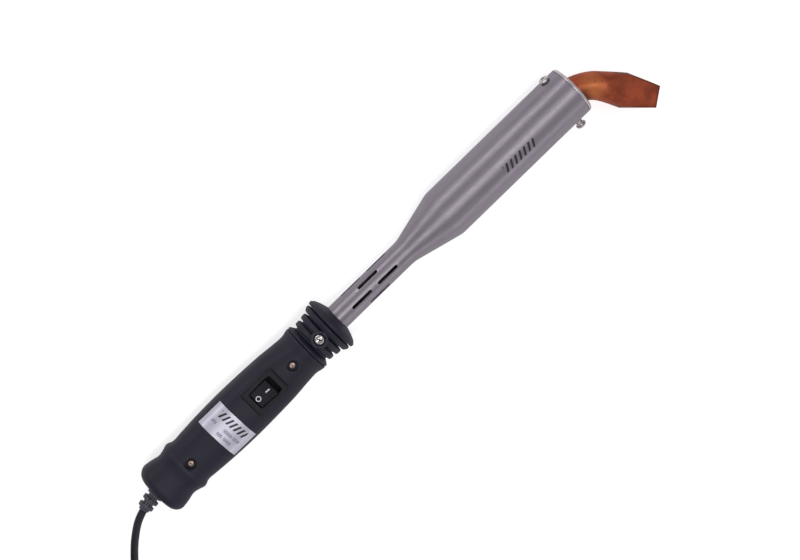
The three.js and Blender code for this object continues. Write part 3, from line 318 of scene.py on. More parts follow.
# The parts inside, in the order of the current: brass, enamelled wire, mica, ceramic and fibre.
BRASS = Finish("stamped_brass", "#c9a45a", "#a98545", "#ecd9a0", 3, 0.6, 1, 0.32, 0.08, 0.3, 0.006)
SPRING_STEEL = Finish(
    "drawn_spring_steel", "#c9c7cc", "#9b999f", "#ecebee", 1, 0.5, 1, 0.3, 0.06, 0.2, 0.003)
CERAMIC = Finish(
    "pressed_steatite_ceramic", "#e9e2d2", "#d8ceb9", "#f6f1e6", 4, 0.6, 0, 0.62, 0.08, 0.4, 0.02)
# Seen through the vents: ceramic lead tubes, smoked by years of heat.
SMOKED_CERAMIC = Finish(
    "smoked_lead_tubes", "#3f3a38", "#2b2725", "#5a534e", 4, 0.7, 0, 0.7, 0.08, 0.4, 0.02)
MICA = Finish("split_mica_sheet", "#b9a98a", "#97835f", "#d9cdb2", 6, 0.8, 0, 0.3, 0.08, 1.2, 0.01)
FIBRE = Finish("ceramic_fibre_wrap", "#e3e0d8", "#cfcabe", "#f2f0ea", 2, 0.8, 0, 0.95, 0.04, 0.7, 0.15)
NICHROME = Finish("oxidised_nichrome", "#77706c", "#4f4845", "#a09894", 1.5, 0.7, 1, 0.5, 0.1, 0.3, 0.006)
BROWN_WIRE = Finish("brown_wire_pvc", "#7a3f22", "#63301a", "#94563a", 5, 0.5, 0, 0.45, 0.06, 0.4, 0.006)
BLUE_WIRE = Finish("blue_wire_pvc", "#2f5fa8", "#254d8b", "#5580c0", 5, 0.5, 0, 0.45, 0.06, 0.4, 0.006)


# ------------------------------------------------------------------------------------------------
# Shapes
# ------------------------------------------------------------------------------------------------


def iron_to_row() -> Matrix:
    """Gives the move from the iron's millimetres to the row frame, from the CAD boxes."""
    low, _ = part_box("handle_upper_shell")
    cap_low, cap_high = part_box("front_cap")
    middle = (cap_low + cap_high) / 2
    return Matrix.Translation((low.x, middle.y, middle.z)) @ Matrix.Scale(MM, 4)


def placed(name: str, data: bpy.types.ID) -> bpy.types.Object:
    """Makes an object of some data and links it to the scene."""
    made = bpy.data.objects.new(name, data)
    bpy.context.scene.collection.objects.link(made)
    return made


def only(kind: type, geometry: Iterable) -> list:
    """Keeps the elements of one kind."""
    return [g for g in geometry if isinstance(g, kind)]


def stepped(outline: Sequence[tuple[float, float]], step: float) -> list[tuple[float, float]]:
    """Adds points along an outline's long stretches.

    Args:
        outline: Points as (x, radius).
        step: About how far apart the points are along X.

    Returns:
        The points, but for the last one.
    """
    dense = []
    for a, b in zip(outline, outline[1:]):
        count = max(1, round(abs(a[0] - b[0]) / step))
        dense += [tuple(Vector(a).lerp(Vector(b), k / count)) for k in range(count)]
    return dense


def rounded(corners: Sequence[tuple[float, ...]], steps: int = 4,
            closed: bool = True) -> list[tuple[float, float]]:
    """Rounds the corners of a flat outline.

    Args:
        corners: Points as (x, radius) or (x, radius, corner radius).
        steps: Segments of each arc.
        closed: Whether the last point joins the first.

    Returns:
        The outline's points, with each rounded corner as an arc.
    """
    points = []
    count = len(corners)
    for i, corner in enumerate(corners):
        here = Vector(corner[:2])
        size = corner[2] if len(corner) > 2 else 0
        if not size or (not closed and i in (0, count - 1)):
            points.append(tuple(here))
            continue
        before, after = Vector(corners[i - 1][:2]) - here, Vector(corners[(i + 1) % count][:2]) - here
        half = before.angle(after) / 2
        reach = min(size / math.tan(half), before.length * 0.49, after.length * 0.49)
        start, end = here + before.normalized() * reach, here + after.normalized() * reach
        for k in range(steps + 1):
            t = k / steps
            points.append(tuple(start.lerp(here, t).lerp(here.lerp(end, t), t)))
    return points


class Shape:
    """A closed mesh in the making, in the iron's millimetres."""

    def __init__(self) -> None:
        """Starts with nothing."""
        self.bm = bmesh.new()

    # -- ways to start ---------------------------------------------------------------------------

    @classmethod
    def turned(cls, profile: Sequence[tuple[float, float]], sides: int = 96, closed: bool = True) -> "Shape":
        """Spins an outline of (x, radius) points round X.

        Args:
            profile: The outline. An open one starts and ends on the axis.
            sides: Steps round the axis.
            closed: Whether the last point joins the first.

        Returns:
            The turned shape.
        """
        shape = cls()
        bm = shape.bm
        verts = [bm.verts.new((x, 0, radius)) for x, radius in profile]
        edges = [bm.edges.new(pair) for pair in zip(verts, verts[1:])]
        if closed:
            edges.append(bm.edges.new((verts[-1], verts[0])))
        bmesh.ops.spin(bm, geom=verts + edges, cent=(0, 0, 0), axis=(1, 0, 0), angle=math.tau,
                       steps=sides, use_merge=True)
        shape.clean()
        return shape

    @classmethod
    def rod(cls, radius: float, low: float, high: float, sides: int = 32) -> "Shape":
        """A round bar along X."""
        return cls.turned([(low, 0), (low, radius), (high, radius), (high, 0)], sides, closed=False)

    @classmethod
    def sheet(cls, length: float, width: float, columns: int, rows: int) -> "Shape":
        """A flat sheet of small faces, centred on the origin."""
        shape = cls()
        bmesh.ops.create_grid(shape.bm, x_segments=columns, y_segments=rows, size=0.5)
        shape.bm.transform(Matrix.Diagonal((length, width, 1, 1)))
        return shape

    @classmethod
    def post(cls, radius: float, low: float, high: float, sides: int = 48, flare: float = 0.0) -> "Shape":
        """A round bar along Z, wider at its top by flare."""
        shape = cls()
        bmesh.ops.create_cone(shape.bm, cap_ends=True, segments=sides, radius1=radius, radius2=radius + flare,
                              depth=high - low, matrix=Matrix.Translation((0, 0, (low + high) / 2)))
        return shape

    @classmethod
    def block(cls, low: Sequence[float], high: Sequence[float]) -> "Shape":
        """A box between two corners."""
        shape = cls()
        low, high = Vector(low), Vector(high)
        size = Matrix.Diagonal((*(high - low), 1))
        bmesh.ops.create_cube(shape.bm, size=1, matrix=Matrix.Translation((low + high) / 2) @ size)
        return shape

    @classmethod
    def plate(cls, length: float, width: float, corner: float, low: float, high: float,
              rim: float = 0.0) -> "Shape":
        """A plate along Z with round corners.

        Args:
            length: Its size along X.
            width: Its size along Y.
            corner: Radius of the four upright corners.
            low: Its underside.
            high: Its top.
            rim: Radius of the top's edge.

        Returns:
            The plate, centred on the origin.
        """
        shape = cls.block((-length / 2, -width / 2, low), (length / 2, width / 2, high))
        upright = [e for e in shape.bm.edges if abs(e.verts[0].co.z - e.verts[1].co.z) > (high - low) / 2]
        shape.bevel(upright, corner, 6)
        if rim:
            shape.bevel(shape.edges_at(high), rim, 4)
        return shape

    @classmethod
    def lofted(cls, rings: Sequence[Sequence[Vector]]) -> "Shape":
        """Pulls a circle of points through rings, and caps both ends.

        Args:
            rings: Each ring's points, all of one count.

        Returns:
            The closed skin.
        """
        shape = cls()
        bm = shape.bm
        ring = bmesh.ops.create_circle(bm, cap_ends=False, segments=len(rings[0]), radius=1)["verts"]
        ring.sort(key=lambda v: math.atan2(v.co.y, v.co.x) % math.tau)
        for vert, place in zip(ring, rings[0]):
            vert.co = place
        order = {vert: i for i, vert in enumerate(ring)}
        edges = list(bm.edges)
        bmesh.ops.contextual_create(bm, geom=edges)
        for places in rings[1:]:
            made = bmesh.ops.extrude_edge_only(bm, edges=edges)["geom"]
            edges = only(bmesh.types.BMEdge, made)
            following = {}
            for vert in only(bmesh.types.BMVert, made):
                source = next(e.other_vert(vert) for e in vert.link_edges if e.other_vert(vert) in order)
                following[vert] = order[source]
            for vert, i in following.items():
                vert.co = places[i]
            order = following
        bmesh.ops.contextual_create(bm, geom=edges)
        shape.outward()
        return shape

    # -- ways to change it -----------------------------------------------------------------------

    def edges_at(self, height: float) -> list[bmesh.types.BMEdge]:
        """The edges that lie at one height."""
        return [e for e in self.bm.edges if all(abs(v.co.z - height) < SAME for v in e.verts)]

    def clean(self) -> "Shape":
        """Merges doubles, drops empty faces and turns the faces outwards."""
        bmesh.ops.remove_doubles(self.bm, verts=self.bm.verts, dist=SAME)
        bmesh.ops.dissolve_degenerate(self.bm, edges=self.bm.edges, dist=SAME)
        return self.outward()

    def outward(self) -> "Shape":
        """Turns the faces outwards."""
        bmesh.ops.recalc_face_normals(self.bm, faces=self.bm.faces)
        return self

    def bevel(self, edges: Iterable[bmesh.types.BMEdge], width: float, segments: int = 3) -> "Shape":
        """Rounds some edges."""
        bmesh.ops.bevel(self.bm, geom=list(edges), offset=width, offset_type="OFFSET", segments=segments,
                        profile=0.5, affect="EDGES", material=-1, clamp_overlap=True)
        return self

    def bevel_sharp(self, width: float, segments: int = 3, angle: float = 40) -> "Shape":
        """Rounds every edge that is sharper than an angle in degrees."""
        sharp = [e for e in self.bm.edges if e.is_manifold and e.calc_face_angle(0) > math.radians(angle)]
        return self.bevel(sharp, width, segments)

    def moved(self, x: float = 0, y: float = 0, z: float = 0) -> "Shape":
        """Moves the shape."""
        self.bm.transform(Matrix.Translation((x, y, z)))
        return self

    def turned_by(self, degrees: float, axis: str) -> "Shape":
        """Turns the shape about an axis through the origin."""
        self.bm.transform(Matrix.Rotation(math.radians(degrees), 4, axis))
        return self

    def formed(self, place: Callable[[Vector], Vector]) -> "Shape":
        """Moves each point to where a function puts it."""
        for vert in self.bm.verts:
            vert.co = place(vert.co.copy())
        return self

    def combined(self, how: Boolean, *tools: "Shape") -> "Shape":
        """Cuts, joins or trims with other closed shapes, which are used up.

        Args:
            how: The operation.
            *tools: The other shapes.

        Returns:
            The shape itself.
        """
        for tool in tools:
            pair = []
            for part in (self, tool):
                mesh = bpy.data.meshes.new("scratch")
                part.bm.to_mesh(mesh)
                pair.append(placed("scratch", mesh))
            modifier = pair[0].modifiers.new("combine", "BOOLEAN")
            modifier.operation, modifier.solver, modifier.object = how.value, "EXACT", pair[1]
            bpy.context.view_layer.update()
            result = pair[0].evaluated_get(bpy.context.evaluated_depsgraph_get()).to_mesh()
            self.bm.clear()
            self.bm.from_mesh(result)
            pair[0].to_mesh_clear()
            for used in pair:
                mesh = used.data
                bpy.data.objects.remove(used)
                bpy.data.meshes.remove(mesh)
            tool.bm.free()
        bmesh.ops.remove_doubles(self.bm, verts=self.bm.verts, dist=SAME)
        return self

    def cut(self, *tools: "Shape") -> "Shape":
        """Cuts other shapes out of this one."""
        return self.combined(Boolean.CUT, *tools)

    def join(self, *tools: "Shape") -> "Shape":
        """Joins other shapes to this one."""
        return self.combined(Boolean.JOIN, *tools)

    # -- the end ---------------------------------------------------------------------------------

    def piece(self, name: str, body: Body, slot: str, finishes: Sequence[Finish], *replaced: str,
              smooth: float = 32,
              values: dict[str, Callable[[Vector], float]] | None = None) -> bpy.types.Object:
        """Finishes the shape as a piece of the object.

        Args:
            name: The piece's name.
            body: The body it rides on.
            slot: The record's material slot; not used.
            finishes: One finish for each material number on its faces.
            *replaced: The CAD nodes that it stands for.
            smooth: Edges sharper than this, in degrees, stay crisp.
            values: Point attributes that its finish reads, as functions of the place in millimetres.

        Returns:
            The new object.
        """
        bm = self.bm
        bmesh.ops.dissolve_degenerate(bm, edges=bm.edges, dist=SAME)
        bmesh.ops.triangulate(bm, faces=[f for f in bm.faces if len(f.verts) > 4])
        bm.normal_update()
        wear = []
        for vert in bm.verts:
            bends = [e.calc_face_angle(0) for e in vert.link_edges if e.is_manifold and e.is_convex]
            wear.append(min(1.0, max(bends, default=0) / WORN_ANGLE))
        extra = {key: [value(v.co) for v in bm.verts] for key, value in (values or {}).items()}
        bm.transform(iron_to_row())
        mesh = bpy.data.meshes.new(name)
        bm.to_mesh(mesh)
        bm.free()
        for key, numbers in {"wear": wear, **extra}.items():
            mesh.attributes.new(key, "FLOAT", "POINT").data.foreach_set("value", numbers)
        mesh.shade_smooth()
        mesh.set_sharp_from_angle(angle=math.radians(smooth))
        for finish in finishes:
            mesh.materials.append(finish.build())
        made = placed(name, mesh)
        made.modifiers.new("even_shading", "WEIGHTED_NORMAL").keep_sharp = True
        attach(made, body.value)
        if replaced:
            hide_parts(*replaced)
        LOG.info("%s: %d faces on %s", name, len(mesh.polygons), body.value)
        return made


def smoothstep(value: float, low: float, high: float) -> float:
    """Rises smoothly from 0 at low to 1 at high."""
    t = min(1.0, max(0.0, (value - low) / (high - low)))
    return t * t * (3 - 2 * t)


def spline(points: Sequence[Sequence[float]], steps: int) -> list[list[float]]:
    """Draws a smooth line through points of any number of values.

    Args:
        points: The points to pass through.
        steps: Points given for each stretch.

    Returns:
        Points along the line, ends included.
    """
    result = []
    for i in range(len(points) - 1):
        four = [points[max(0, i - 1)], points[i], points[i + 1], points[min(len(points) - 1, i + 2)]]
        for k in range(steps):
            t = k / steps
            result.append([
                0.5 * (2 * b + (c - a) * t + (2 * a - 5 * b + 4 * c - d) * t**2
                       + (3 * b - a - 3 * c + d) * t**3)
                for a, b, c, d in zip(*four)
            ])
    result.append(list(points[-1]))
    return result


def oval(angle: float, half_width: float, half_height: float, exponent: float) -> tuple[float, float]:
    """A point of a superellipse, found along a ray at an angle.

    Args:
        angle: The ray's angle from the first axis, in radians.
        half_width: Half the size along the first axis.
        half_height: Half the size along the second axis.
        exponent: 2 for an ellipse, more for a squarer form.

    Returns:
        The point's two coordinates.
    """
    across, up = math.cos(angle), math.sin(angle)
    reach = (abs(across / half_width) ** exponent + abs(up / half_height) ** exponent) ** (-1 / exponent)
    return across * reach, up * reach


@dataclass(frozen=True)
class CrossScrew:
    """A cross-recessed screw with a domed head, drawn along Z with the head's underside at z = 0."""

    head_radius: float
    head_height: float
    shank_radius: float
    length: float
    cross_turn: float = 20
    pitch: float = 0.9
    point: float = 0.6
    dome_steps: int = 8
    dome_start: float = 0.34
    edge: float = 0.02
    upright: float = 0.35

    def shape(self) -> Shape:
        """Makes the screw with its recess.

        Returns:
            The screw, along Z.
        """
        head, height, shank = self.head_radius, self.head_height, self.shank_radius
        full = -self.length + shank * self.point
        outline = [(-self.length, 0), (-self.length, shank * 0.55), (full, shank)]
        for i in range(max(0, int(-full / self.pitch) - 1)):
            z = full + self.pitch * (i + 0.25)
            outline += [(z, shank), (z + self.pitch * 0.35, shank * 0.82), (z + self.pitch * 0.7, shank)]
        dome = height * self.dome_start
        outline += rounded([(0, shank), (0, head, 0.12), (dome, head, 0.2)], 3, closed=False)
        for k in range(1, self.dome_steps):
            angle = k / self.dome_steps * math.pi / 2
            outline.append((dome + (height - dome) * math.sin(angle), head * math.cos(angle) ** 0.75))
        outline.append((height, 0))
        body = Shape.turned(outline, 48, closed=False)
        body.turned_by(-90, "Y")
        reach, slot, floor = head * 0.58, head * 0.13, height * 0.3
        arms = []
        for turn in (0, 90):
            arm = Shape.block((-reach, -slot, floor), (reach, slot, height + 1))
            for vert in arm.bm.verts:
                if vert.co.z < height:
                    vert.co.x *= 0.5
                    vert.co.y *= 0.6
            arms.append(arm.turned_by(turn + self.cross_turn, "Z"))
        body.cut(*arms)
        body.bm.normal_update()
        # Painted shade: faces on the recess's walls and floor take the second, dark finish.
        for face in body.bm.faces:
            middle = face.calc_center_median()
            inside = math.hypot(middle.x, middle.y) < reach + self.edge and middle.z > floor - self.edge
            shadowed = abs(face.normal.z) < self.upright or middle.z < floor + self.edge
            face.material_index = int(inside and shadowed)
        return body


# ------------------------------------------------------------------------------------------------
# Handle and label
# ------------------------------------------------------------------------------------------------


@dataclass(frozen=True)
class Handle:
    """The two moulded half shells of the grip, their screws and the label."""

    length: float = 108.6
    wall: float = 2.4
    rear_wall: float = 3.5
    front_wall: float = 3.6
    rear_corner: float = 5.2
    front_corner: float = 0.5
    flatness: float = 0.88
    squareness: float = 2.7
    round_from: float = 24.6
    round_to: float = 2.6
    butt: float = 14.8
    outline: tuple = (
        (0.085, 14.2), (0.128, 13.2), (0.164, 13.9), (0.193, 14.75), (0.228, 13.5), (0.285, 13.9),
        (0.396, 14.6), (0.534, 14.95), (0.663, 14.75), (0.797, 14.2), (0.884, 13.45), (0.947, 13.1),
        (0.978, 13.7), (1, 14.15),
    )
    screw_places: tuple = (24.9, 97.9)
    recess_radius: float = 3.0
    recess_depth: float = 3.0
    boss_radius: float = 3.7
    boot_socket: tuple = (4.2, -1, 4.6)
    collar_socket: tuple = (7.3, 104, 110)
    screw: CrossScrew = CrossScrew(2.05, 1.5, 1.45, 15, 35)
    label_x: float = 51.0
    label_length: float = 15.6
    label_width: float = 25.4
    label_turn: float = 2.0
    stroke_pitch: tuple = (1.0, 2.6, 1.1)
    stroke_width: tuple = (0.0, 1.2, 0.75)
    stroke_slant: float = 0.4
    heavy_strokes: tuple = ((1.6, 5.9, -9.4, 8.6),)
    fine_strokes: tuple = (
        (-2.4, -0.6, -9.4, -5.6), (-2.4, -0.6, -4.6, 0.8), (-2.4, -0.6, 6.2, 9.2),
        (-5.8, -4.0, -6.6, -1.8), (-5.8, -4.0, -0.8, 2.6),
    )

    def half_width(self, x: float) -> float:
        """Half the handle's width at x."""
        if x <= self.rear_corner:
            inside = self.butt - self.rear_corner
            return inside + math.sqrt(max(0.0, self.rear_corner**2 - (self.rear_corner - x) ** 2))
        line = self._line()
        for (x0, w0), (x1, w1) in zip(line, line[1:]):
            if x <= x1:
                return w0 + (w1 - w0) * (x - x0) / (x1 - x0)
        return line[-1][1]

    def _line(self) -> list[list[float]]:
        """The side outline past the rear corner."""
        if not hasattr(Handle, "_kept"):
            points = [(self.rear_corner, self.butt)] + [(s * self.length, w) for s, w in self.outline]
            Handle._kept = spline(points, 9)
        return Handle._kept

    def section(self, x: float, inset: float = 0.0) -> tuple[float, float, float]:
        """Half width, half height and exponent of the section at x, inset all round."""
        roundness = smoothstep(x, self.length - self.round_from, self.length - self.round_to)
        wide = self.half_width(x)
        high = wide * (self.flatness + (1 - self.flatness) * roundness)
        return wide - inset, high - inset, self.squareness + (2 - self.squareness) * roundness

    def top(self, x: float, y: float) -> float:
        """The height of the handle's skin over a point of its plan."""
        wide, high, exponent = self.section(x)
        return high * max(0.0, 1 - (abs(y) / wide) ** exponent) ** (1 / exponent)

    def skin(self, inset: float, start: float, end: float, sides: int, spacing: float) -> Shape:
        """A closed body that follows the handle's form.

        Args:
            inset: How far inside the outer skin it lies.
            start: Where it begins along X.
            end: Where it ends.
            sides: Steps round the axis.
            spacing: Distance between its rings.

        Returns:
            The body.
        """
        places = [start]
        if not inset:
            places += [self.rear_corner * (1 - math.cos(k / 8 * math.pi / 2)) for k in range(1, 8)]
        count = round((end - self.front_corner - places[-1]) / spacing)
        first = places[-1]
        places += [first + (end - self.front_corner - first) * (i + 1) / count for i in range(count)]
        rings = [(x, self.section(x)[0] - inset) for x in places]
        corner = self.front_corner
        for k in range(1, 4):
            angle = k / 3 * math.pi / 2
            x = end - corner + corner * math.sin(angle)
            rings.append((x, self.section(x)[0] - inset - corner * (1 - math.cos(angle))))
        outline = [(start, 0), *rings, (end, 0)]
        shape = Shape.turned(outline, sides, closed=False)
        radii = dict((round(x, 3), radius) for x, radius in rings)

        def formed(co: Vector) -> Vector:
            """Presses the round section into the handle's own."""
            radius = math.hypot(co.y, co.z)
            if radius < 1e-5:
                return co
            full = radii[min(radii, key=lambda x: abs(x - co.x))]
            wide, high, exponent = self.section(co.x, inset)
            trim = wide - full
            y, z = oval(math.atan2(co.z, co.y), wide - trim, high - trim, exponent)
            return Vector((co.x, y * radius / full, z * radius / full))

        return shape.formed(formed)

    def seat(self, x: float) -> float:
        """The height of a screw's seat."""
        return self.top(x, 0) - self.recess_depth

    def shells(self, switch: "Switch") -> None:
        """Makes the upper and lower shells.

        Args:
            switch: The switch, for which the upper shell is cut.
        """
        reach = 40
        hollow = self.skin(self.wall, self.rear_wall, self.length - self.front_wall, 48, 4)
        body = self.skin(0, 0, self.length, 144, 1.1).cut(hollow)
        body.cut(Shape.rod(*self.boot_socket, 64), Shape.rod(*self.collar_socket, 64))
        for sign, name in ((1, "upper"), (-1, "lower")):
            half = Shape()
            copied = bpy.data.meshes.new("scratch")
            body.bm.to_mesh(copied)
            half.bm.from_mesh(copied)
            bpy.data.meshes.remove(copied)
            low, high = sorted((sign * GAP / 2, sign * reach))
            for x in self.screw_places:
                inside = self.top(x, 0) - self.wall / 2
                ends = sorted((sign * (GAP / 2 + 0.01), sign * inside))
                half.join(Shape.post(self.boss_radius, *ends).moved(x))
            side = Shape.block((-reach, -reach, low), (self.length + reach, reach, high))
            half.combined(Boolean.COMMON, side)
            for x in self.screw_places:
                point = self.seat(x) - self.screw.length - 1
                half.cut(Shape.post(self.screw.shank_radius + GAP, point, reach, 32).moved(x))
                if sign > 0:
                    skin = self.top(x, 0)
                    half.cut(Shape.post(self.recess_radius, self.seat(x), skin - 0.35).moved(x),
                             Shape.post(self.recess_radius, skin - 0.36, skin + 1, flare=1.3).moved(x))
            if sign > 0:
                seat = switch.bezel_top - switch.bezel_height - GAP
                openings = [
                    Shape.plate(length + 2 * GAP, width + 2 * GAP, 1, floor, reach).moved(switch.x)
                    for length, width, floor in ((switch.bezel_length, switch.bezel_width, seat),
                                                 (switch.body_length, switch.body_width, -1))]
                half.cut(*openings)
            half.piece(f"handle_{name}", Body.IRON, "handle_black", [HANDLE_PLASTIC],
                       f"handle_{name}_shell")
        body.bm.free()

    def screws(self) -> None:
        """Makes the two screws that hold the shells together."""
        for x, place in zip(self.screw_places, ("rear", "front")):
            self.screw.shape().moved(x, 0, self.seat(x) + GAP).piece(
                f"shell_screw_{place}", Body.IRON, "screw_bronze", [BRONZED_STEEL, RECESS_PAINTED_SHADE],
                f"handle_screw_{place}")

    def label(self) -> None:
        """Makes the silver label, with plain slanted strokes printed on it: dark ones, then grey ones."""
        shape = Shape.sheet(self.label_length, self.label_width, 78, 127)
        marks = [(box, 1) for box in self.heavy_strokes] + [(box, 2) for box in self.fine_strokes]
        for face in shape.bm.faces:
            spot = face.calc_center_median()
            for (x0, x1, y0, y1), ink in marks:
                slanted = (spot.y + self.stroke_slant * spot.x) % self.stroke_pitch[ink]
                if x0 < spot.x < x1 and y0 < spot.y < y1 and slanted < self.stroke_width[ink]:
                    face.material_index = ink

        def laid(co: Vector) -> Vector:
            """Lays a point of the flat label on the crown of the grip."""
            x = self.label_x + co.x - co.y * math.tan(math.radians(self.label_turn))
            return Vector((x, co.y, self.top(x, co.y) + 0.12))

        shape.formed(laid)
        bmesh.ops.solidify(shape.bm, geom=shape.bm.faces, thickness=-0.1)
        shape.outward()
        shape.piece("rating_label", Body.IRON, "label_foil", [LABEL_FOIL, DARK_INK, GREY_INK], "label")


# ------------------------------------------------------------------------------------------------
# Switch
# ------------------------------------------------------------------------------------------------


@dataclass(frozen=True)
class Switch:
    """The rocker switch: its housing, the rocker and the marks on it."""

    x: float = 78.4
    bezel_top: float = 13.805
    bezel_length: float = 21
    bezel_width: float = 15
    bezel_height: float = 1.7
    body_length: float = 18.8
    body_width: float = 12.6
    body_depth: float = 15.6
    floor: float = 1.5
    opening_length: float = 14.4
    opening_width: float = 10.1
    rocker_length: float = 11.4
    rocker_width: float = 9.5
    side_height: float = 4.6
    dish: float = 0.5
    proud: float = 0.3
    pivot_depth: float = 5.9
    tilt: float = 12
    pin_radius: float = 1.15
    stem: float = 1.7
    stem_length: float = 2.6
    ring_x: float = -3.75
    ring_radius: float = 1.5
    ring_hole: float = 1.0
    bar_x: float = 2.8
    bar_length: float = 2.9
    bar_width: float = 0.8
    lip: float = 0.55
    pin_reach: float = 5.5
    stem_top: float = -1.8
    slot_places: tuple = (0, -6.4)
    # Dark plates under the rocker, painted shade where the switch shows only shade in its gaps: their depth,
    # middle gap, seat and thickness.
    shade_plate_depth: float = 2.2
    shade_plate_gap: float = 3.3
    shade_plate_seat: float = 0.5
    shade_plate_thickness: float = 0.4

    def tipped(self, shape: Shape) -> Shape:
        """Tips a shape that was drawn level about the pivot, rear end down."""
        return shape.turned_by(-self.tilt, "Y").moved(self.x, 0, self.bezel_top - self.pivot_depth)

    def rocker_top(self, x: float) -> float:
        """The height of the dished top over the pivot."""
        half = self.rocker_length / 2
        return self.pivot_depth + self.proud - self.dish * (1 - (x / half) ** 2)

    def housing(self) -> None:
        """Makes the housing with its rounded bezel, and the dark plates under the rocker that paint shade
        into its gaps.
        """
        top, low = self.bezel_top, self.bezel_top - self.bezel_height
        floor = self.bezel_top - self.body_depth + self.floor
        shape = Shape.plate(self.bezel_length, self.bezel_width, 1.3, low, top, rim=0.6)
        shape.join(Shape.plate(self.body_length, self.body_width, 0.7, floor - self.floor, low + 0.4))
        well = Shape.plate(self.opening_length, self.opening_width, 1.2, floor, top + 1)
        lip = Shape.plate(self.opening_length, self.opening_width, 1.2, top - self.lip, top + 0.05)
        for vert in lip.bm.verts:
            if vert.co.z > top - self.lip / 2:
                vert.co.x += math.copysign(self.lip, vert.co.x)
                vert.co.y += math.copysign(self.lip, vert.co.y)
        pins = Shape.rod(self.pin_radius + 0.12, -self.pin_reach - GAP, self.pin_reach + GAP)
        slots = [Shape.block((x - 0.7, -2.7, floor - self.floor - 1), (x + 0.7, 2.7, floor + 1))
                 for x in self.slot_places]
        shape.cut(well, lip, pins.turned_by(90, "Z").moved(0, 0, top - self.pivot_depth), *slots)
        # Painted shade: dark plates under the rocker keep the lit contacts below from showing in the gaps.
        shade_plate = top - self.pivot_depth - self.shade_plate_depth
        length = self.opening_length / 2 + self.shade_plate_seat
        width = self.opening_width / 2 + self.shade_plate_seat
        for side in (-1, 1):
            near, far = sorted((side * self.shade_plate_gap, side * length))
            shape.join(Shape.block((near, -width, shade_plate - self.shade_plate_thickness), (far, width, shade_plate)))
        shape.moved(self.x).piece("switch_bezel_and_body", Body.IRON, "switch_black", [SWITCH_PLASTIC],
                                  "switch_housing")

    def rocker(self) -> None:
        """Makes the rocker with its dished top, soft edges and pivot pins."""
        half, stem, root = self.rocker_length / 2, self.stem, self.stem_top
        shape = Shape()
        bm = shape.bm
        low = self.pivot_depth + self.proud - self.side_height
        side = [(x, self.rocker_top(x)) for x in (half * (k / 12 - 1) for k in range(25))]
        side += [(half * 0.98, low), (stem, root), (stem, root - self.stem_length),
                 (-stem, root - self.stem_length), (-stem, root), (-half * 0.98, low)]
        verts = [bm.verts.new((x, -self.rocker_width / 2, z)) for x, z in side]
        made = bmesh.ops.extrude_face_region(bm, geom=[bm.faces.new(verts)])["geom"]
        for vert in only(bmesh.types.BMVert, made):
            vert.co.y += self.rocker_width
        shape.outward().bevel_sharp(0.4, 3, 30)
        pin = Shape.rod(self.pin_radius, -self.pin_reach, self.pin_reach).turned_by(90, "Z")
        shape.join(pin).cut(Shape.post(1.2, -8, -1.6, 24))
        self.tipped(shape).piece("rocker_button", Body.ROCKER, "switch_black", [SWITCH_PLASTIC],
                                 "switch_rocker")

    def marks(self) -> None:
        """Prints the off ring and the on bar on the rocker."""
        ring = Shape()
        outer = bmesh.ops.create_circle(ring.bm, cap_ends=False, segments=64, radius=self.ring_radius)
        edges = list({e for v in outer["verts"] for e in v.link_edges})
        made = bmesh.ops.extrude_edge_only(ring.bm, edges=edges)["geom"]
        for vert in only(bmesh.types.BMVert, made):
            vert.co *= self.ring_hole / self.ring_radius
        bar = Shape.sheet(self.bar_length, self.bar_width, 24, 4)
        for shape, x, name in ((ring, self.ring_x, "off_ring"), (bar, self.bar_x, "on_bar")):
            shape.moved(x).outward()
            if shape.bm.faces[:][0].normal.z < 0:
                bmesh.ops.reverse_faces(shape.bm, faces=shape.bm.faces)
            shape.formed(lambda co: Vector((co.x, co.y, self.rocker_top(co.x) + INK_LIFT)))
            bmesh.ops.solidify(shape.bm, geom=shape.bm.faces, thickness=-0.04)
            self.tipped(shape.outward()).piece(f"rocker_{name}", Body.ROCKER, "label_foil", [WHITE_INK])


# ------------------------------------------------------------------------------------------------
# Cord entry, free cord and plug
# ------------------------------------------------------------------------------------------------


@dataclass(frozen=True)
class StrainRelief:
    """The soft boot where the cord enters: three ribs with webs between them, bending aside."""

    bend: float = 15
    length: float = 11.6

    def bent(self, co: Vector) -> Vector:
        """Bends a point that was drawn along the straight axis, x being minus the distance outside."""
        distance = -co.x
        if distance <= 0:
            return co
        radius = self.length / math.radians(self.bend)
        angle = distance / radius
        along = Vector((-radius * math.sin(angle), -radius * (1 - math.cos(angle)), co.z))
        return along + Vector((-math.sin(angle), math.cos(angle), 0)) * co.y

    def build(self) -> None:
        """Makes the boot."""
        outline = rounded([
            (9.5, 0), (9.5, 3.0, 0.3), (6.2, 3.4), (6.2, 5.4, 0.3), (3.8, 5.4, 0.3), (3.8, 3.9), (-0.35, 3.9),
            (-0.55, 3.9), (-0.6, 4.65, 0.25), (-2.1, 4.6, 0.25), (-2.15, 2.9, 0.2), (-4.15, 2.85, 0.2),
            (-4.2, 4.5, 0.25), (-6.0, 4.4, 0.25), (-6.05, 2.85, 0.2), (-8.15, 2.8, 0.2), (-8.2, 4.25, 0.25),
            (-10.0, 4.1, 0.25), (-10.1, 2.95, 0.2), (-11.6, 2.85, 0.3), (-11.6, 0),
        ], 3, closed=False)
        shape = Shape.turned([*stepped(outline, 0.8), outline[-1]], 72, closed=False)
        webs = []
        for back, front, turn in ((-4.2, -2.1, 12), (-8.2, -6.0, -8)):
            for side in (0, 180):
                web = Shape.block((back, -0.8, 2.4), (front, 0.8, 3.9))
                webs.append(web.turned_by(turn + side, "X"))
        shape.join(*webs).formed(self.bent)
        # Its finish paints a pale highlight on the ribs' edges.
        shape.piece("cord_boot", Body.IRON, "rubber_black", [BOOT_PVC], "strain_relief", smooth=38)


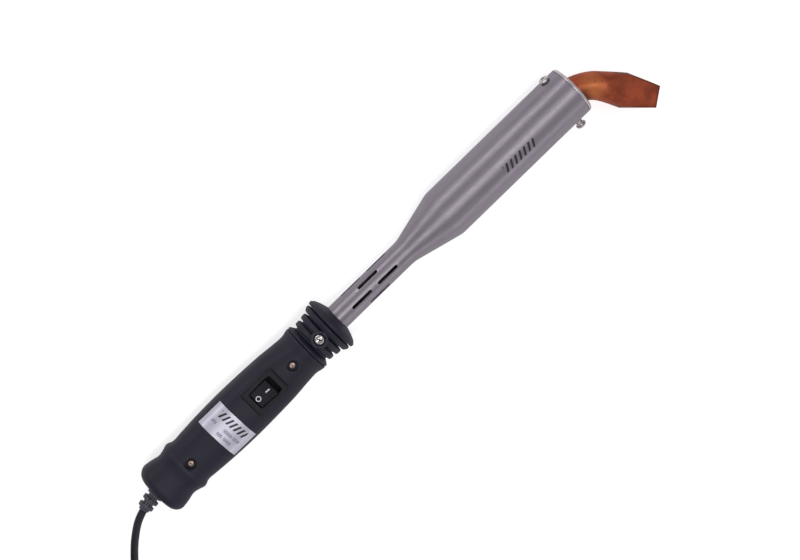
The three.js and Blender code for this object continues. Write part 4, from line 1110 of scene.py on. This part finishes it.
@dataclass(frozen=True)
class FreeCord:
    """The mains lead: from the boot to the surface, a tied coil, and the plug."""

    diameter: float = 4.2
    length: float = 1.5
    centre: tuple = (-76.0, -24.0)
    radii: tuple = (25.5, 21.2, 16.9, 16.9, 21.2, 25.5, 25.5, 21.2, 21.2, 25.5)
    layers: tuple = (0, 0, 0, 1, 1, 1, 2, 2, 3, 3)
    low: float = -12.8
    pitch: float = 4.3
    start_angle: float = -43.1
    end_angle: float = -3715.0
    step_turn: float = 140
    step_lead: float = 30
    turn_points: int = 16
    exit: tuple = (-11.9, -1.63, 0.0)
    to_coil: tuple = (
        (-14.4, -2.5, -0.2), (-17, -3.6, -0.8), (-19.7, -5.1, -1.6), (-22.4, -6.9, -2.5), (-28.2, -11.4, -5),
        (-33.8, -16.6, -7.8), (-39.3, -22.3, -10.3), (-44.6, -27.9, -12), (-50.6, -34.3, -12.7),
    )
    to_plug: tuple = (
        (-94.5, -43.5, 0.1), (-102.2, -39.9, -0.8), (-108.5, -37.2, -2.9), (-114.5, -35, -5.6),
        (-120.5, -33.2, -7.6), (-124.6, -32.7, -8.4), (-126.6, -32.6, -8.5),
    )
    plug_x: float = -126.8
    plug_y: float = -32.6
    plug_z: float = -8.5
    plug_front: float = -160.8

    def coil(self) -> list[tuple[float, float, float]]:
        """Winds the coil, layer on layer, stepping from turn to turn one after another.

        Returns:
            The coil's points.
        """
        points = []
        total = self.start_angle - self.end_angle
        count = round(total / 360 * self.turn_points)
        for i in range(count + 1):
            wound = total * i / count
            radius, layer = self.radii[0], float(self.layers[0])
            for k in range(1, len(self.radii)):
                begin = k * 360 - self.step_turn - (k - 1) * self.step_lead
                share = smoothstep(wound, begin, begin + self.step_turn)
                radius += (self.radii[k] - self.radii[k - 1]) * share
                layer += (self.layers[k] - self.layers[k - 1]) * share
            angle = math.radians(self.start_angle - wound)
            across, up = radius * math.cos(angle), radius * math.sin(angle)
            height = self.low + layer * self.pitch
            points.append((self.centre[0] + across, self.centre[1] + up, height))
        return points

    def build(self) -> None:
        to_row = iron_to_row()
        route = [self.exit, *self.to_coil, *self.coil(), *self.to_plug]
        curve = bpy.data.curves.new("mains_lead", "CURVE")
        curve.dimensions = "3D"
        curve.bevel_depth = self.diameter / 2 * MM
        curve.bevel_resolution = 5
        curve.resolution_u = 5
        curve.use_fill_caps = True
        line = curve.splines.new("BEZIER")
        line.bezier_points.add(len(route) - 1)
        for point, place in zip(line.bezier_points, route):
            point.co = to_row @ Vector(place)
            point.handle_left_type = point.handle_right_type = "AUTO"
        curve.materials.append(SOFT_PVC.build())
        lead = placed("mains_lead", curve)
        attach(lead, Body.IRON.value)
        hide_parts("cord_tube", "cord_coil", "cord_tube_to_plug")
        pieces = [self.tie(), *self.plug()]
        LOG.info("mains_lead: %d points", len(route))

    def tie(self) -> bpy.types.Object:
        """Makes the band round the coil.

        Returns:
            The band.
        """
        inner, outer, low, high = 14.45, 27.95, -15.2, 2.5
        length, height = outer - inner, high - low
        band = Shape.plate(length + 1.6, height + 1.6, 2.0, -3, 3).bevel_sharp(0.25, 2)
        band.cut(Shape.plate(length, height, 1.4, -6, 6))
        buckle = Shape.plate(3.6, 5.0, 0.5, -3.4, 3.4, rim=0.3).moved(length / 2 + 1.2)
        band.join(buckle)
        band.turned_by(90, "X").moved((inner + outer) / 2, 0, (low + high) / 2).turned_by(100, "Z")
        return band.moved(*self.centre).piece("coil_tie", Body.IRON, "rubber_black", [SOFT_PVC], "cord_tie")

    def plug(self) -> list[bpy.types.Object]:
        """Makes the plug's moulded body with its grip ribs, and its two blades.

        Returns:
            The three pieces.
        """
        x, y, z, front = self.plug_x, self.plug_y, self.plug_z, self.plug_front
        stations = [
            (x, 3.0, 3.0, 2), (x - 0.3, 3.3, 3.3, 2), (x - 3, 3.7, 3.7, 2), (x - 6, 4.3, 4.3, 2),
            (x - 9, 5.2, 5.0, 2.2), (x - 11, 8.2, 6.0, 2.8), (x - 13, 11.2, 7.0, 3.4), (x - 15, 12.6, 7.4, 4),
            (x - 18, 13, 7.5, 4.4), (x - 26, 13, 7.5, 4.5), (front + 1.2, 13, 7.5, 4.5),
            (front + 0.3, 12.7, 7.2, 4.5), (front, 12.2, 6.8, 4.5),
        ]
        rings = []
        for sx, wide, high, exponent in spline(stations, 3):
            ovals = [oval(math.tau * i / 64, wide, high, exponent) for i in range(64)]
            rings.append([Vector((sx, y + across, z + up)) for across, up in ovals])
        body = Shape.lofted(rings)
        for k in range(5):
            rib_x = x - 18.5 - 2.2 * k
            for side in (-1, 1):
                groove = Shape.block((-0.45, -9, -0.35), (0.45, 9, 0.35))
                body.cut(groove.moved(rib_x, y, z + side * 7.6))
        blades = []
        for side in (-1, 1):
            middle = y + side * 6.35
            low = (front - 16, middle - 0.75, z - 3.15)
            blade = Shape.block(low, (front + 6, middle + 0.75, z + 3.15)).bevel_sharp(0.35, 3)
            blade.cut(Shape.rod(1.6, -1, 1).turned_by(90, "Z").moved(front - 12.5, middle, z))
            blades.append(blade)
            pocket = (front - 1, middle - 1.05, z - 3.45), (front + 6.3, middle + 1.05, z + 3.45)
            body.cut(Shape.block(*pocket))
        made = [body.piece("plug_moulding", Body.IRON, "rubber_black", [SOFT_PVC], "plug_body")]
        for blade, name in zip(blades, ("left", "right")):
            made.append(blade.piece(f"plug_pin_{name}", Body.IRON, "brass_contact", [BRASS],
                                    f"plug_blade_{name}"))
        return made


# ------------------------------------------------------------------------------------------------
# Collar, barrel and cap
# ------------------------------------------------------------------------------------------------


@dataclass(frozen=True)
class Collar:
    """The ribbed heat collar between the grip and the barrel, with its screw."""

    handle_front: float = 108.6
    screw_x: float = 117.2
    boss_radius: float = 4.8
    boss_top: float = 13.4
    recess_radius: float = 3.4
    socket: float = 7.5
    screw: CrossScrew = CrossScrew(2.85, 1.8, 1.65, 6, 25)

    def build(self) -> None:
        """Makes the collar and its screw."""
        f = self.handle_front
        outline = rounded([
            (f - 6.4, 4.5), (f - 6.4, 8.7, 0.3), (f - 3.9, 8.7, 0.3), (f - 3.9, 7.0), (f + 0.3, 7.0),
            (f + 0.3, 14.1, 0.6), (f + 1.6, 13.8, 1.2), (f + 3.4, 11.0, 0.5), (f + 4.3, 11.0, 0.4),
            (f + 4.5, 13.0, 1.1), (f + 7.6, 13.1, 1.1), (f + 7.8, 11.0, 0.35), (f + 8.7, 11.0, 0.35),
            (f + 8.9, 13.55, 1.1), (f + 12.2, 13.75, 1.1), (f + 12.4, 11.2, 0.35), (f + 13.0, 11.2, 0.3),
            (f + 13.2, 14.3, 1.0), (f + 15.2, 15.55, 1.2), (f + 16.45, 15.2, 0.6), (f + 16.5, 12.8, 0.25),
            (f + 17.1, 12.8, 0.25), (f + 17.2, 15.9, 0.6), (f + 18.8, 16.1, 0.8), (f + 20.4, 14.4, 1.6),
            (f + 21.8, 11.2, 2.0), (f + 22.6, 8.6, 0.8), (f + 22.9, self.socket, 0.2), (f + 2.6, self.socket),
            (f + 2.6, 4.5),
        ], 4)
        shape = Shape.turned(outline, 128)
        boss = Shape.post(self.boss_radius, self.socket + 1, self.boss_top, 64)
        shape.join(boss.bevel(boss.edges_at(self.boss_top), 0.5, 3).moved(self.screw_x))
        shape.cut(Shape.post(self.recess_radius, self.boss_top - 2, 20, 64).moved(self.screw_x),
                  Shape.post(self.screw.shank_radius + GAP, 5, 20, 32).moved(self.screw_x))
        shape.piece("heat_collar", Body.IRON, "handle_black", [HANDLE_PLASTIC], "collar", smooth=42)
        self.screw.shape().moved(self.screw_x, 0, self.boss_top - 2 + GAP).piece(
            "collar_set_screw", Body.IRON, "screw_bright", [NICKEL_PLATE, RECESS_PAINTED_SHADE], "collar_screw")


@dataclass(frozen=True)
class Barrel:
    """The brushed steel tube: vented neck, cone and heater barrel, with its plain printed mark."""

    back: float = 111.5
    neck_front: float = 181.1
    cone_front: float = 209.1
    front: float = 301.2
    neck_radius: float = 7.2
    radius: float = 14.25
    wall: float = 0.7
    vent_length: float = 13.9
    vent_width: float = 1.8
    vent_rows: int = 8
    vent_turn: float = -10
    vent_pair: tuple = (147.4, 165.9)
    vent_single: tuple = (156.5,)
    screw_x: float = 294.3
    screw_turn: float = 73
    screw_hole: float = 2.3
    collar_screw: tuple = (117.2, 1.95)
    mark_x: float = 257.5
    mark_turn: float = -16
    mark_length: float = 22
    mark_width: float = 4.6
    stroke_pitch: float = 3.1
    stroke_width: float = 1.3
    stroke_slant: float = 0.45
    stroke_cell: float = 0.2

    def build(self) -> None:
        """Makes the tube."""
        neck, wide, wall = self.neck_radius, self.radius, self.wall
        outline = rounded([
            (self.back, neck - wall), (self.back, neck), (self.neck_front, neck, 22),
            (self.cone_front, wide, 16), (self.front, wide, 0.15), (self.front, wide - wall, 0.15),
            (self.cone_front + 0.2, wide - wall, 16), (self.neck_front + 0.2, neck - wall, 22),
        ], 12)
        shape = Shape.turned(stepped([*outline, outline[0]], 3.5), 112)
        cutters = []
        for row in range(self.vent_rows):
            for x in self.vent_pair if row % 2 == 0 else self.vent_single:
                slot = Shape.plate(self.vent_length, self.vent_width, self.vent_width / 2 - 0.02,
                                   neck - 2, neck + 2)
                cutters.append(slot.moved(x).turned_by(-(self.vent_turn + 360 / self.vent_rows * row), "X"))
        for side in (0, 180):
            hole = Shape.post(self.screw_hole, neck, wide + 4, 40)
            cutters.append(hole.turned_by(-self.screw_turn + side, "X").moved(self.screw_x))
        collar_x, collar_radius = self.collar_screw
        cutters.append(Shape.post(collar_radius, 0, 12, 32).moved(collar_x))
        shape.cut(*cutters)
        shape.piece("barrel_tube", Body.IRON, "steel_satin", [BRUSHED_STEEL], "barrel_shell", smooth=28)

    def mark(self) -> None:
        """Prints a plain row of slanted strokes, dark on the steel."""
        cell = self.stroke_cell
        shape = Shape.sheet(self.mark_length, self.mark_width, round(self.mark_length / cell),
                            round(self.mark_width / cell))

        def printed(spot: Vector) -> bool:
            """Whether a point of the flat mark carries ink."""
            slanted = spot.x - self.stroke_slant * spot.y + self.mark_length
            return slanted % self.stroke_pitch < self.stroke_width

        bare = [f for f in shape.bm.faces if not printed(f.calc_center_median())]
        bmesh.ops.delete(shape.bm, geom=bare, context="FACES")

        def wrapped(co: Vector) -> Vector:
            """Wraps a point of the flat mark round the barrel."""
            angle = math.radians(self.mark_turn) + co.y / self.radius
            reach = self.radius + INK_LIFT
            return Vector((self.mark_x + co.x, reach * math.sin(angle), reach * math.cos(angle)))

        shape.formed(wrapped)
        bmesh.ops.solidify(shape.bm, geom=shape.bm.faces, thickness=-0.03)
        shape.outward().piece("barrel_mark", Body.IRON, "steel_satin", [DARK_INK])


@dataclass(frozen=True)
class FrontCap:
    """The pressed cap that closes the barrel, and the two screws that clamp the bit."""

    back: float = 288.5
    seat: float = 301.5
    front: float = 303.2
    inside_radius: float = 13.25
    radius: float = 14.25
    mouth: float = 9.9
    bore: float = 8.0
    throat: float = 298.0
    screw_x: float = 294.3
    screw_turn: float = 73
    screw_hole: float = 2.3
    backed_out: float = 3.1
    screw: CrossScrew = CrossScrew(2.85, 1.8, 2.0, 6.65, 40)

    def build(self) -> None:
        """Makes the cap with its rolled lip."""
        outline = rounded([
            (self.back, self.bore), (self.back, self.inside_radius), (self.seat, self.inside_radius),
            (self.seat, self.radius, 0.2), (self.seat + 0.75, self.radius, 0.6),
            (self.front, self.radius - 0.7, 0.5), (self.front - 0.15, self.radius - 2.0, 0.6),
            (self.front, self.mouth + 0.8, 0.5), (self.front - 0.4, self.mouth, 0.5),
            (self.throat, self.bore, 0.5),
        ], 4)
        cap = Shape.turned(outline, 112)
        for side in (0, 180):
            hole = Shape.post(self.screw_hole, 6, 18, 40)
            cap.cut(hole.turned_by(-self.screw_turn + side, "X").moved(self.screw_x))
        cap.piece("barrel_cap", Body.IRON, "steel_satin", [SATIN_STEEL], "front_cap", smooth=42)

    def screws(self) -> None:
        """Makes the clamp screws, the lower one backed out as it was left."""
        for side, name, body in ((0, "upper", Body.UPPER_SCREW), (180, "lower", Body.LOWER_SCREW)):
            out = self.backed_out if side else 0
            shape = self.screw.shape().moved(0, 0, self.radius + GAP + out)
            shape.turned_by(-self.screw_turn + side, "X").moved(self.screw_x)
            shape.piece(f"bit_screw_{name}", body, "screw_bright", [NICKEL_PLATE, RECESS_PAINTED_SHADE],
                        f"clamp_screw_{name}")


# ------------------------------------------------------------------------------------------------
# Copper bit
# ------------------------------------------------------------------------------------------------


@dataclass(frozen=True)
class CopperBit:
    """The bent copper bit with its two ground flats."""

    barrel_front: float = 301.2
    radius: float = 7.6
    inside: float = 72.2
    chamfer: float = 0.8
    straight_end: float = 3.2
    height: float = 15.0
    stations: tuple = (
        (1.8, -0.8, -6, 14.95, 2), (6.2, -2.9, -20, 15.0, 2), (10.4, -5.9, -36, 15.25, 2),
        (13.8, -9.6, -50, 15.7, 2.1), (17.2, -14.0, -56, 17.1, 2.4), (20.65, -19.05, -55, 18.7, 2.8),
        (26.2, -26.8, -54, 15.1, 3.2), (31.75, -34.5, -53.5, 11.6, 4),
    )
    corner_station: int = 5
    flat_length: float = 29
    flat_heading: float = -53.5
    edge_thickness: float = 1.6
    across_lines: tuple = (24, -0.4, -1.1)
    along_lines: tuple = (21, -9.0, 0.9)
    # A painted highlight on the round bend: its middle, its reach and its strength.
    highlight_place: tuple = (8.5, -6.0)
    highlight_reach: float = 9
    highlight_most: float = 0.85

    def build(self) -> None:
        """Makes the bit: a round bar, bent and spread, with a flat ground above and below."""
        back = self.barrel_front - self.inside
        small = 2 * (self.radius - self.chamfer)
        straight = [
            (back, 0, 0, small, 2, small), (back + self.chamfer, 0, 0, 2 * self.radius, 2, 2 * self.radius),
            (self.barrel_front - self.straight_end, 0, 0, 2 * self.radius, 2, 2 * self.radius),
        ]
        bent = [(self.barrel_front + x, y, heading, width, exponent, self.height)
                for x, y, heading, width, exponent in self.stations]
        turn = bent[: self.corner_station + 1]
        flat = bent[self.corner_station :]
        stations = [*straight, *spline([straight[-1], *turn], 6)[1:], *spline(flat, 5)[1:]]
        rings = []
        for x, y, heading, width, exponent, height in stations:
            across = Vector((-math.sin(math.radians(heading)), math.cos(math.radians(heading)), 0))
            places = [oval(math.tau * i / 72, width / 2, height / 2, exponent) for i in range(72)]
            rings.append([Vector((x, y, up)) + across * side for side, up in places])
        shape = Shape.lofted(rings)
        end_x, end_y = self.barrel_front + self.stations[-1][0], self.stations[-1][1]
        slope = math.atan2((self.height - self.edge_thickness) / 2, self.flat_length)
        heading = math.radians(self.flat_heading)
        ahead = Vector((math.cos(heading), math.sin(heading), 0))
        for side in (1, -1):
            normal = Vector((ahead.x * math.sin(slope), ahead.y * math.sin(slope), side * math.cos(slope)))
            sliced = bmesh.ops.bisect_plane(
                shape.bm, geom=shape.bm.verts[:] + shape.bm.edges[:] + shape.bm.faces[:],
                plane_co=(end_x, end_y, side * self.edge_thickness / 2), plane_no=normal, clear_outer=True)
            bmesh.ops.contextual_create(shape.bm, geom=only(bmesh.types.BMEdge, sliced["geom_cut"]))
        lateral = Vector((-ahead.y, ahead.x, 0))
        for direction, (count, first, step) in ((ahead, self.across_lines), (lateral, self.along_lines)):
            for offset in (first + step * k for k in range(count)):
                near = [f for f in shape.bm.faces if all(
                    (v.co.x - end_x) * ahead.x + (v.co.y - end_y) * ahead.y > -self.flat_length
                    for v in f.verts)]
                edges, verts = {e for f in near for e in f.edges}, {v for f in near for v in f.verts}
                bmesh.ops.bisect_plane(shape.bm, geom=[*near, *edges, *verts], dist=SAME, plane_no=direction,
                                       plane_co=Vector((end_x, end_y, 0)) + direction * offset)
        bmesh.ops.remove_doubles(shape.bm, verts=shape.bm.verts, dist=1e-3)
        shape.outward()
        highlight_centre = Vector((self.barrel_front + self.highlight_place[0], self.highlight_place[1], 0))

        def bend(co: Vector) -> float:
            """Painted highlight: bright orange on the round bend."""
            spot = Vector((co.x, co.y, 0)) - highlight_centre
            return self.highlight_most * max(0.0, 1 - (spot.length / self.highlight_reach) ** 2)

        def scale_and_shade(co: Vector) -> float:
            """Dark scale and painted shade: darker on the inner side near the cap, at the sides and along the
            ground edge.
            """
            near_cap = 1 - smoothstep(co.x, self.barrel_front + 2, self.barrel_front + 8)
            inner = smoothstep(-co.y, 0.5, 6)
            from_end = Vector((co.x - end_x, co.y - end_y, 0))
            along, across = from_end.dot(ahead), abs(from_end.x * ahead.y - from_end.y * ahead.x)
            half = 5.8 + 3.55 * min(1.0, -along / 18.8)
            side = smoothstep(across / half, 0.8, 1.0) if along > -26 else 0
            end_edge = smoothstep(along, -1.2, 0)
            return min(1.0, max(0.85 * near_cap * inner, 0.75 * side, 0.7 * end_edge))

        shape.piece("bit_bar", Body.BIT, "copper_oxidised", [COPPER], "copper_bit", smooth=20,
                    values={"bend": bend, "scale_and_shade": scale_and_shade})


# ------------------------------------------------------------------------------------------------
# Parts kept from the CAD, the stage and the camera
# ------------------------------------------------------------------------------------------------


INNER_PARTS: dict[Finish, tuple[str, ...]] = {
    BRASS: ("switch_plunger", "switch_contact_blade", "switch_terminal_middle", "switch_terminal_end",
            "splice_live", "splice_neutral"),
    SPRING_STEEL: ("switch_spring", "cord_clamp_screw_left", "cord_clamp_screw_right"),
    HANDLE_PLASTIC: ("cord_clamp_bar",),
    SOFT_PVC: ("cord_inside_handle",),
    BROWN_WIRE: ("wire_live_in", "wire_live_switched"),
    BLUE_WIRE: ("wire_neutral",),
    CERAMIC: ("ceramic_rear_disc", "ceramic_front_ring"),
    SMOKED_CERAMIC: ("lead_insulator_live", "lead_insulator_neutral"),
    NICHROME: ("heater_lead_live", "heater_lead_neutral", "heater_winding"),
    SATIN_STEEL: ("bit_sleeve",),
    MICA: ("mica_inner", "mica_outer"),
    FIBRE: ("fibre_insulation",),
}


def dress_inner_parts() -> None:
    """Gives the CAD nodes that stay their materials."""
    for finish, names in INNER_PARTS.items():
        for name in names:
            node = bpy.data.objects[name]
            if not node.material_slots:
                node.data.materials.append(None)
            for kept in node.material_slots:
                kept.link = "OBJECT"
                kept.material = finish.build()


@dataclass(frozen=True)
class Studio:
    """A pale floor, soft boxes and the camera, in the iron's millimetres."""

    camera_x: float = 167.5
    camera_y: float = 116
    camera_z: float = 860
    aim_x: float = 168.5
    aim_y: float = -8.8
    roll: float = 43.88
    lens: float = 74.66
    world: str = "#f4f3f8"
    world_strength: float = 0.32
    floor_size: float = 5
    floor_glow: float = 0.5
    floor_bounce: float = 0.12

    def floor(self) -> None:
        """Lays the floor, which glows a little for the camera so that it stays pale in soft light."""
        mesh = bpy.data.meshes.new("floor")
        Shape.sheet(self.floor_size, self.floor_size, 2, 2).bm.to_mesh(mesh)
        material = bpy.data.materials.new("pale_paper")
        material.use_nodes = True
        shader = material.node_tree.nodes["Principled BSDF"]
        shader.inputs["Base Color"].default_value = linear("#f6f6f6")
        shader.inputs["Roughness"].default_value = 0.9
        shader.inputs["Emission Color"].default_value = (1, 1, 1, 1)
        path = add(material.node_tree, "ShaderNodeLightPath")
        glow = {0: path.outputs["Is Camera Ray"], 1: self.floor_glow, 2: self.floor_bounce}
        seen = add(material.node_tree, "ShaderNodeMath", glow, operation="MULTIPLY_ADD")
        material.node_tree.links.new(seen.outputs[0], shader.inputs["Emission Strength"])
        mesh.materials.append(material)
        placed("floor", mesh)

    def softbox(self, name: str, place: Sequence[float], size: tuple[float, float], power: float) -> None:
        """Hangs a soft box that faces the middle of the iron.

        Args:
            name: Its name.
            place: Its place in metres, over the row frame.
            size: Its size along the iron and across it, in metres.
            power: Its power in watts.
        """
        light = bpy.data.lights.new(name, "AREA")
        light.shape = "RECTANGLE"
        light.size, light.size_y = size
        light.energy = power
        holder = placed(name, light)
        backward = Vector((0, place[1], place[2])).normalized()
        along = Vector((1, 0, 0))
        across = backward.cross(along)
        holder.matrix_world = Matrix((along, across, backward)).transposed().to_4x4()
        holder.matrix_world.translation = Vector(place)

    def lights(self) -> None:
        """Hangs the soft boxes and fills the room with even light."""
        self.softbox("overhead_softbox", (0.0, -0.06, 1.15), (1.7, 0.16), 3.3)
        self.softbox("side_softbox", (0.0, 1.12, 0.72), (1.7, 0.14), 3.3)
        self.softbox("low_softbox", (0.0, -1.2, 0.5), (1.7, 0.4), 2.0)
        world = bpy.data.worlds.new("soft_room")
        world.use_nodes = True
        background = world.node_tree.nodes["Background"]
        background.inputs["Color"].default_value = linear(self.world)
        background.inputs["Strength"].default_value = self.world_strength
        bpy.context.scene.world = world

    def camera(self) -> None:
        """Sets the camera high over the iron, looking down across it."""
        to_row = iron_to_row()
        place = to_row @ Vector((self.camera_x, self.camera_y, self.camera_z))
        forward = (to_row @ Vector((self.aim_x, self.aim_y, 0)) - place).normalized()
        roll = math.radians(self.roll)
        up = Vector((math.sin(roll), math.cos(roll), 0))
        up = (up - forward * up.dot(forward)).normalized()
        right = forward.cross(up)
        data = bpy.data.cameras.new("camera")
        data.lens = self.lens
        data.sensor_width = 36
        data.clip_start = 0.05
        camera = placed("camera", data)
        camera.matrix_world = Matrix((right, up, -forward)).transposed().to_4x4()
        camera.matrix_world.translation = place
        bpy.context.scene.camera = camera


def main() -> None:
    """Builds the stage, then every piece in order."""
    logging.basicConfig(level=logging.INFO, format="%(name)s: %(message)s")
    studio = Studio()
    studio.camera()
    studio.lights()
    studio.floor()
    bpy.context.scene.view_settings.view_transform = "Standard"
    FreeCord().build()
    StrainRelief().build()
    switch, handle = Switch(), Handle()
    handle.shells(switch)
    handle.screws()
    handle.label()
    switch.housing()
    switch.rocker()
    switch.marks()
    Collar().build()
    barrel = Barrel()
    barrel.build()
    barrel.mark()
    cap = FrontCap()
    cap.build()
    cap.screws()
    CopperBit().build()
    dress_inner_parts()


if __name__ == "__main__":
    main()
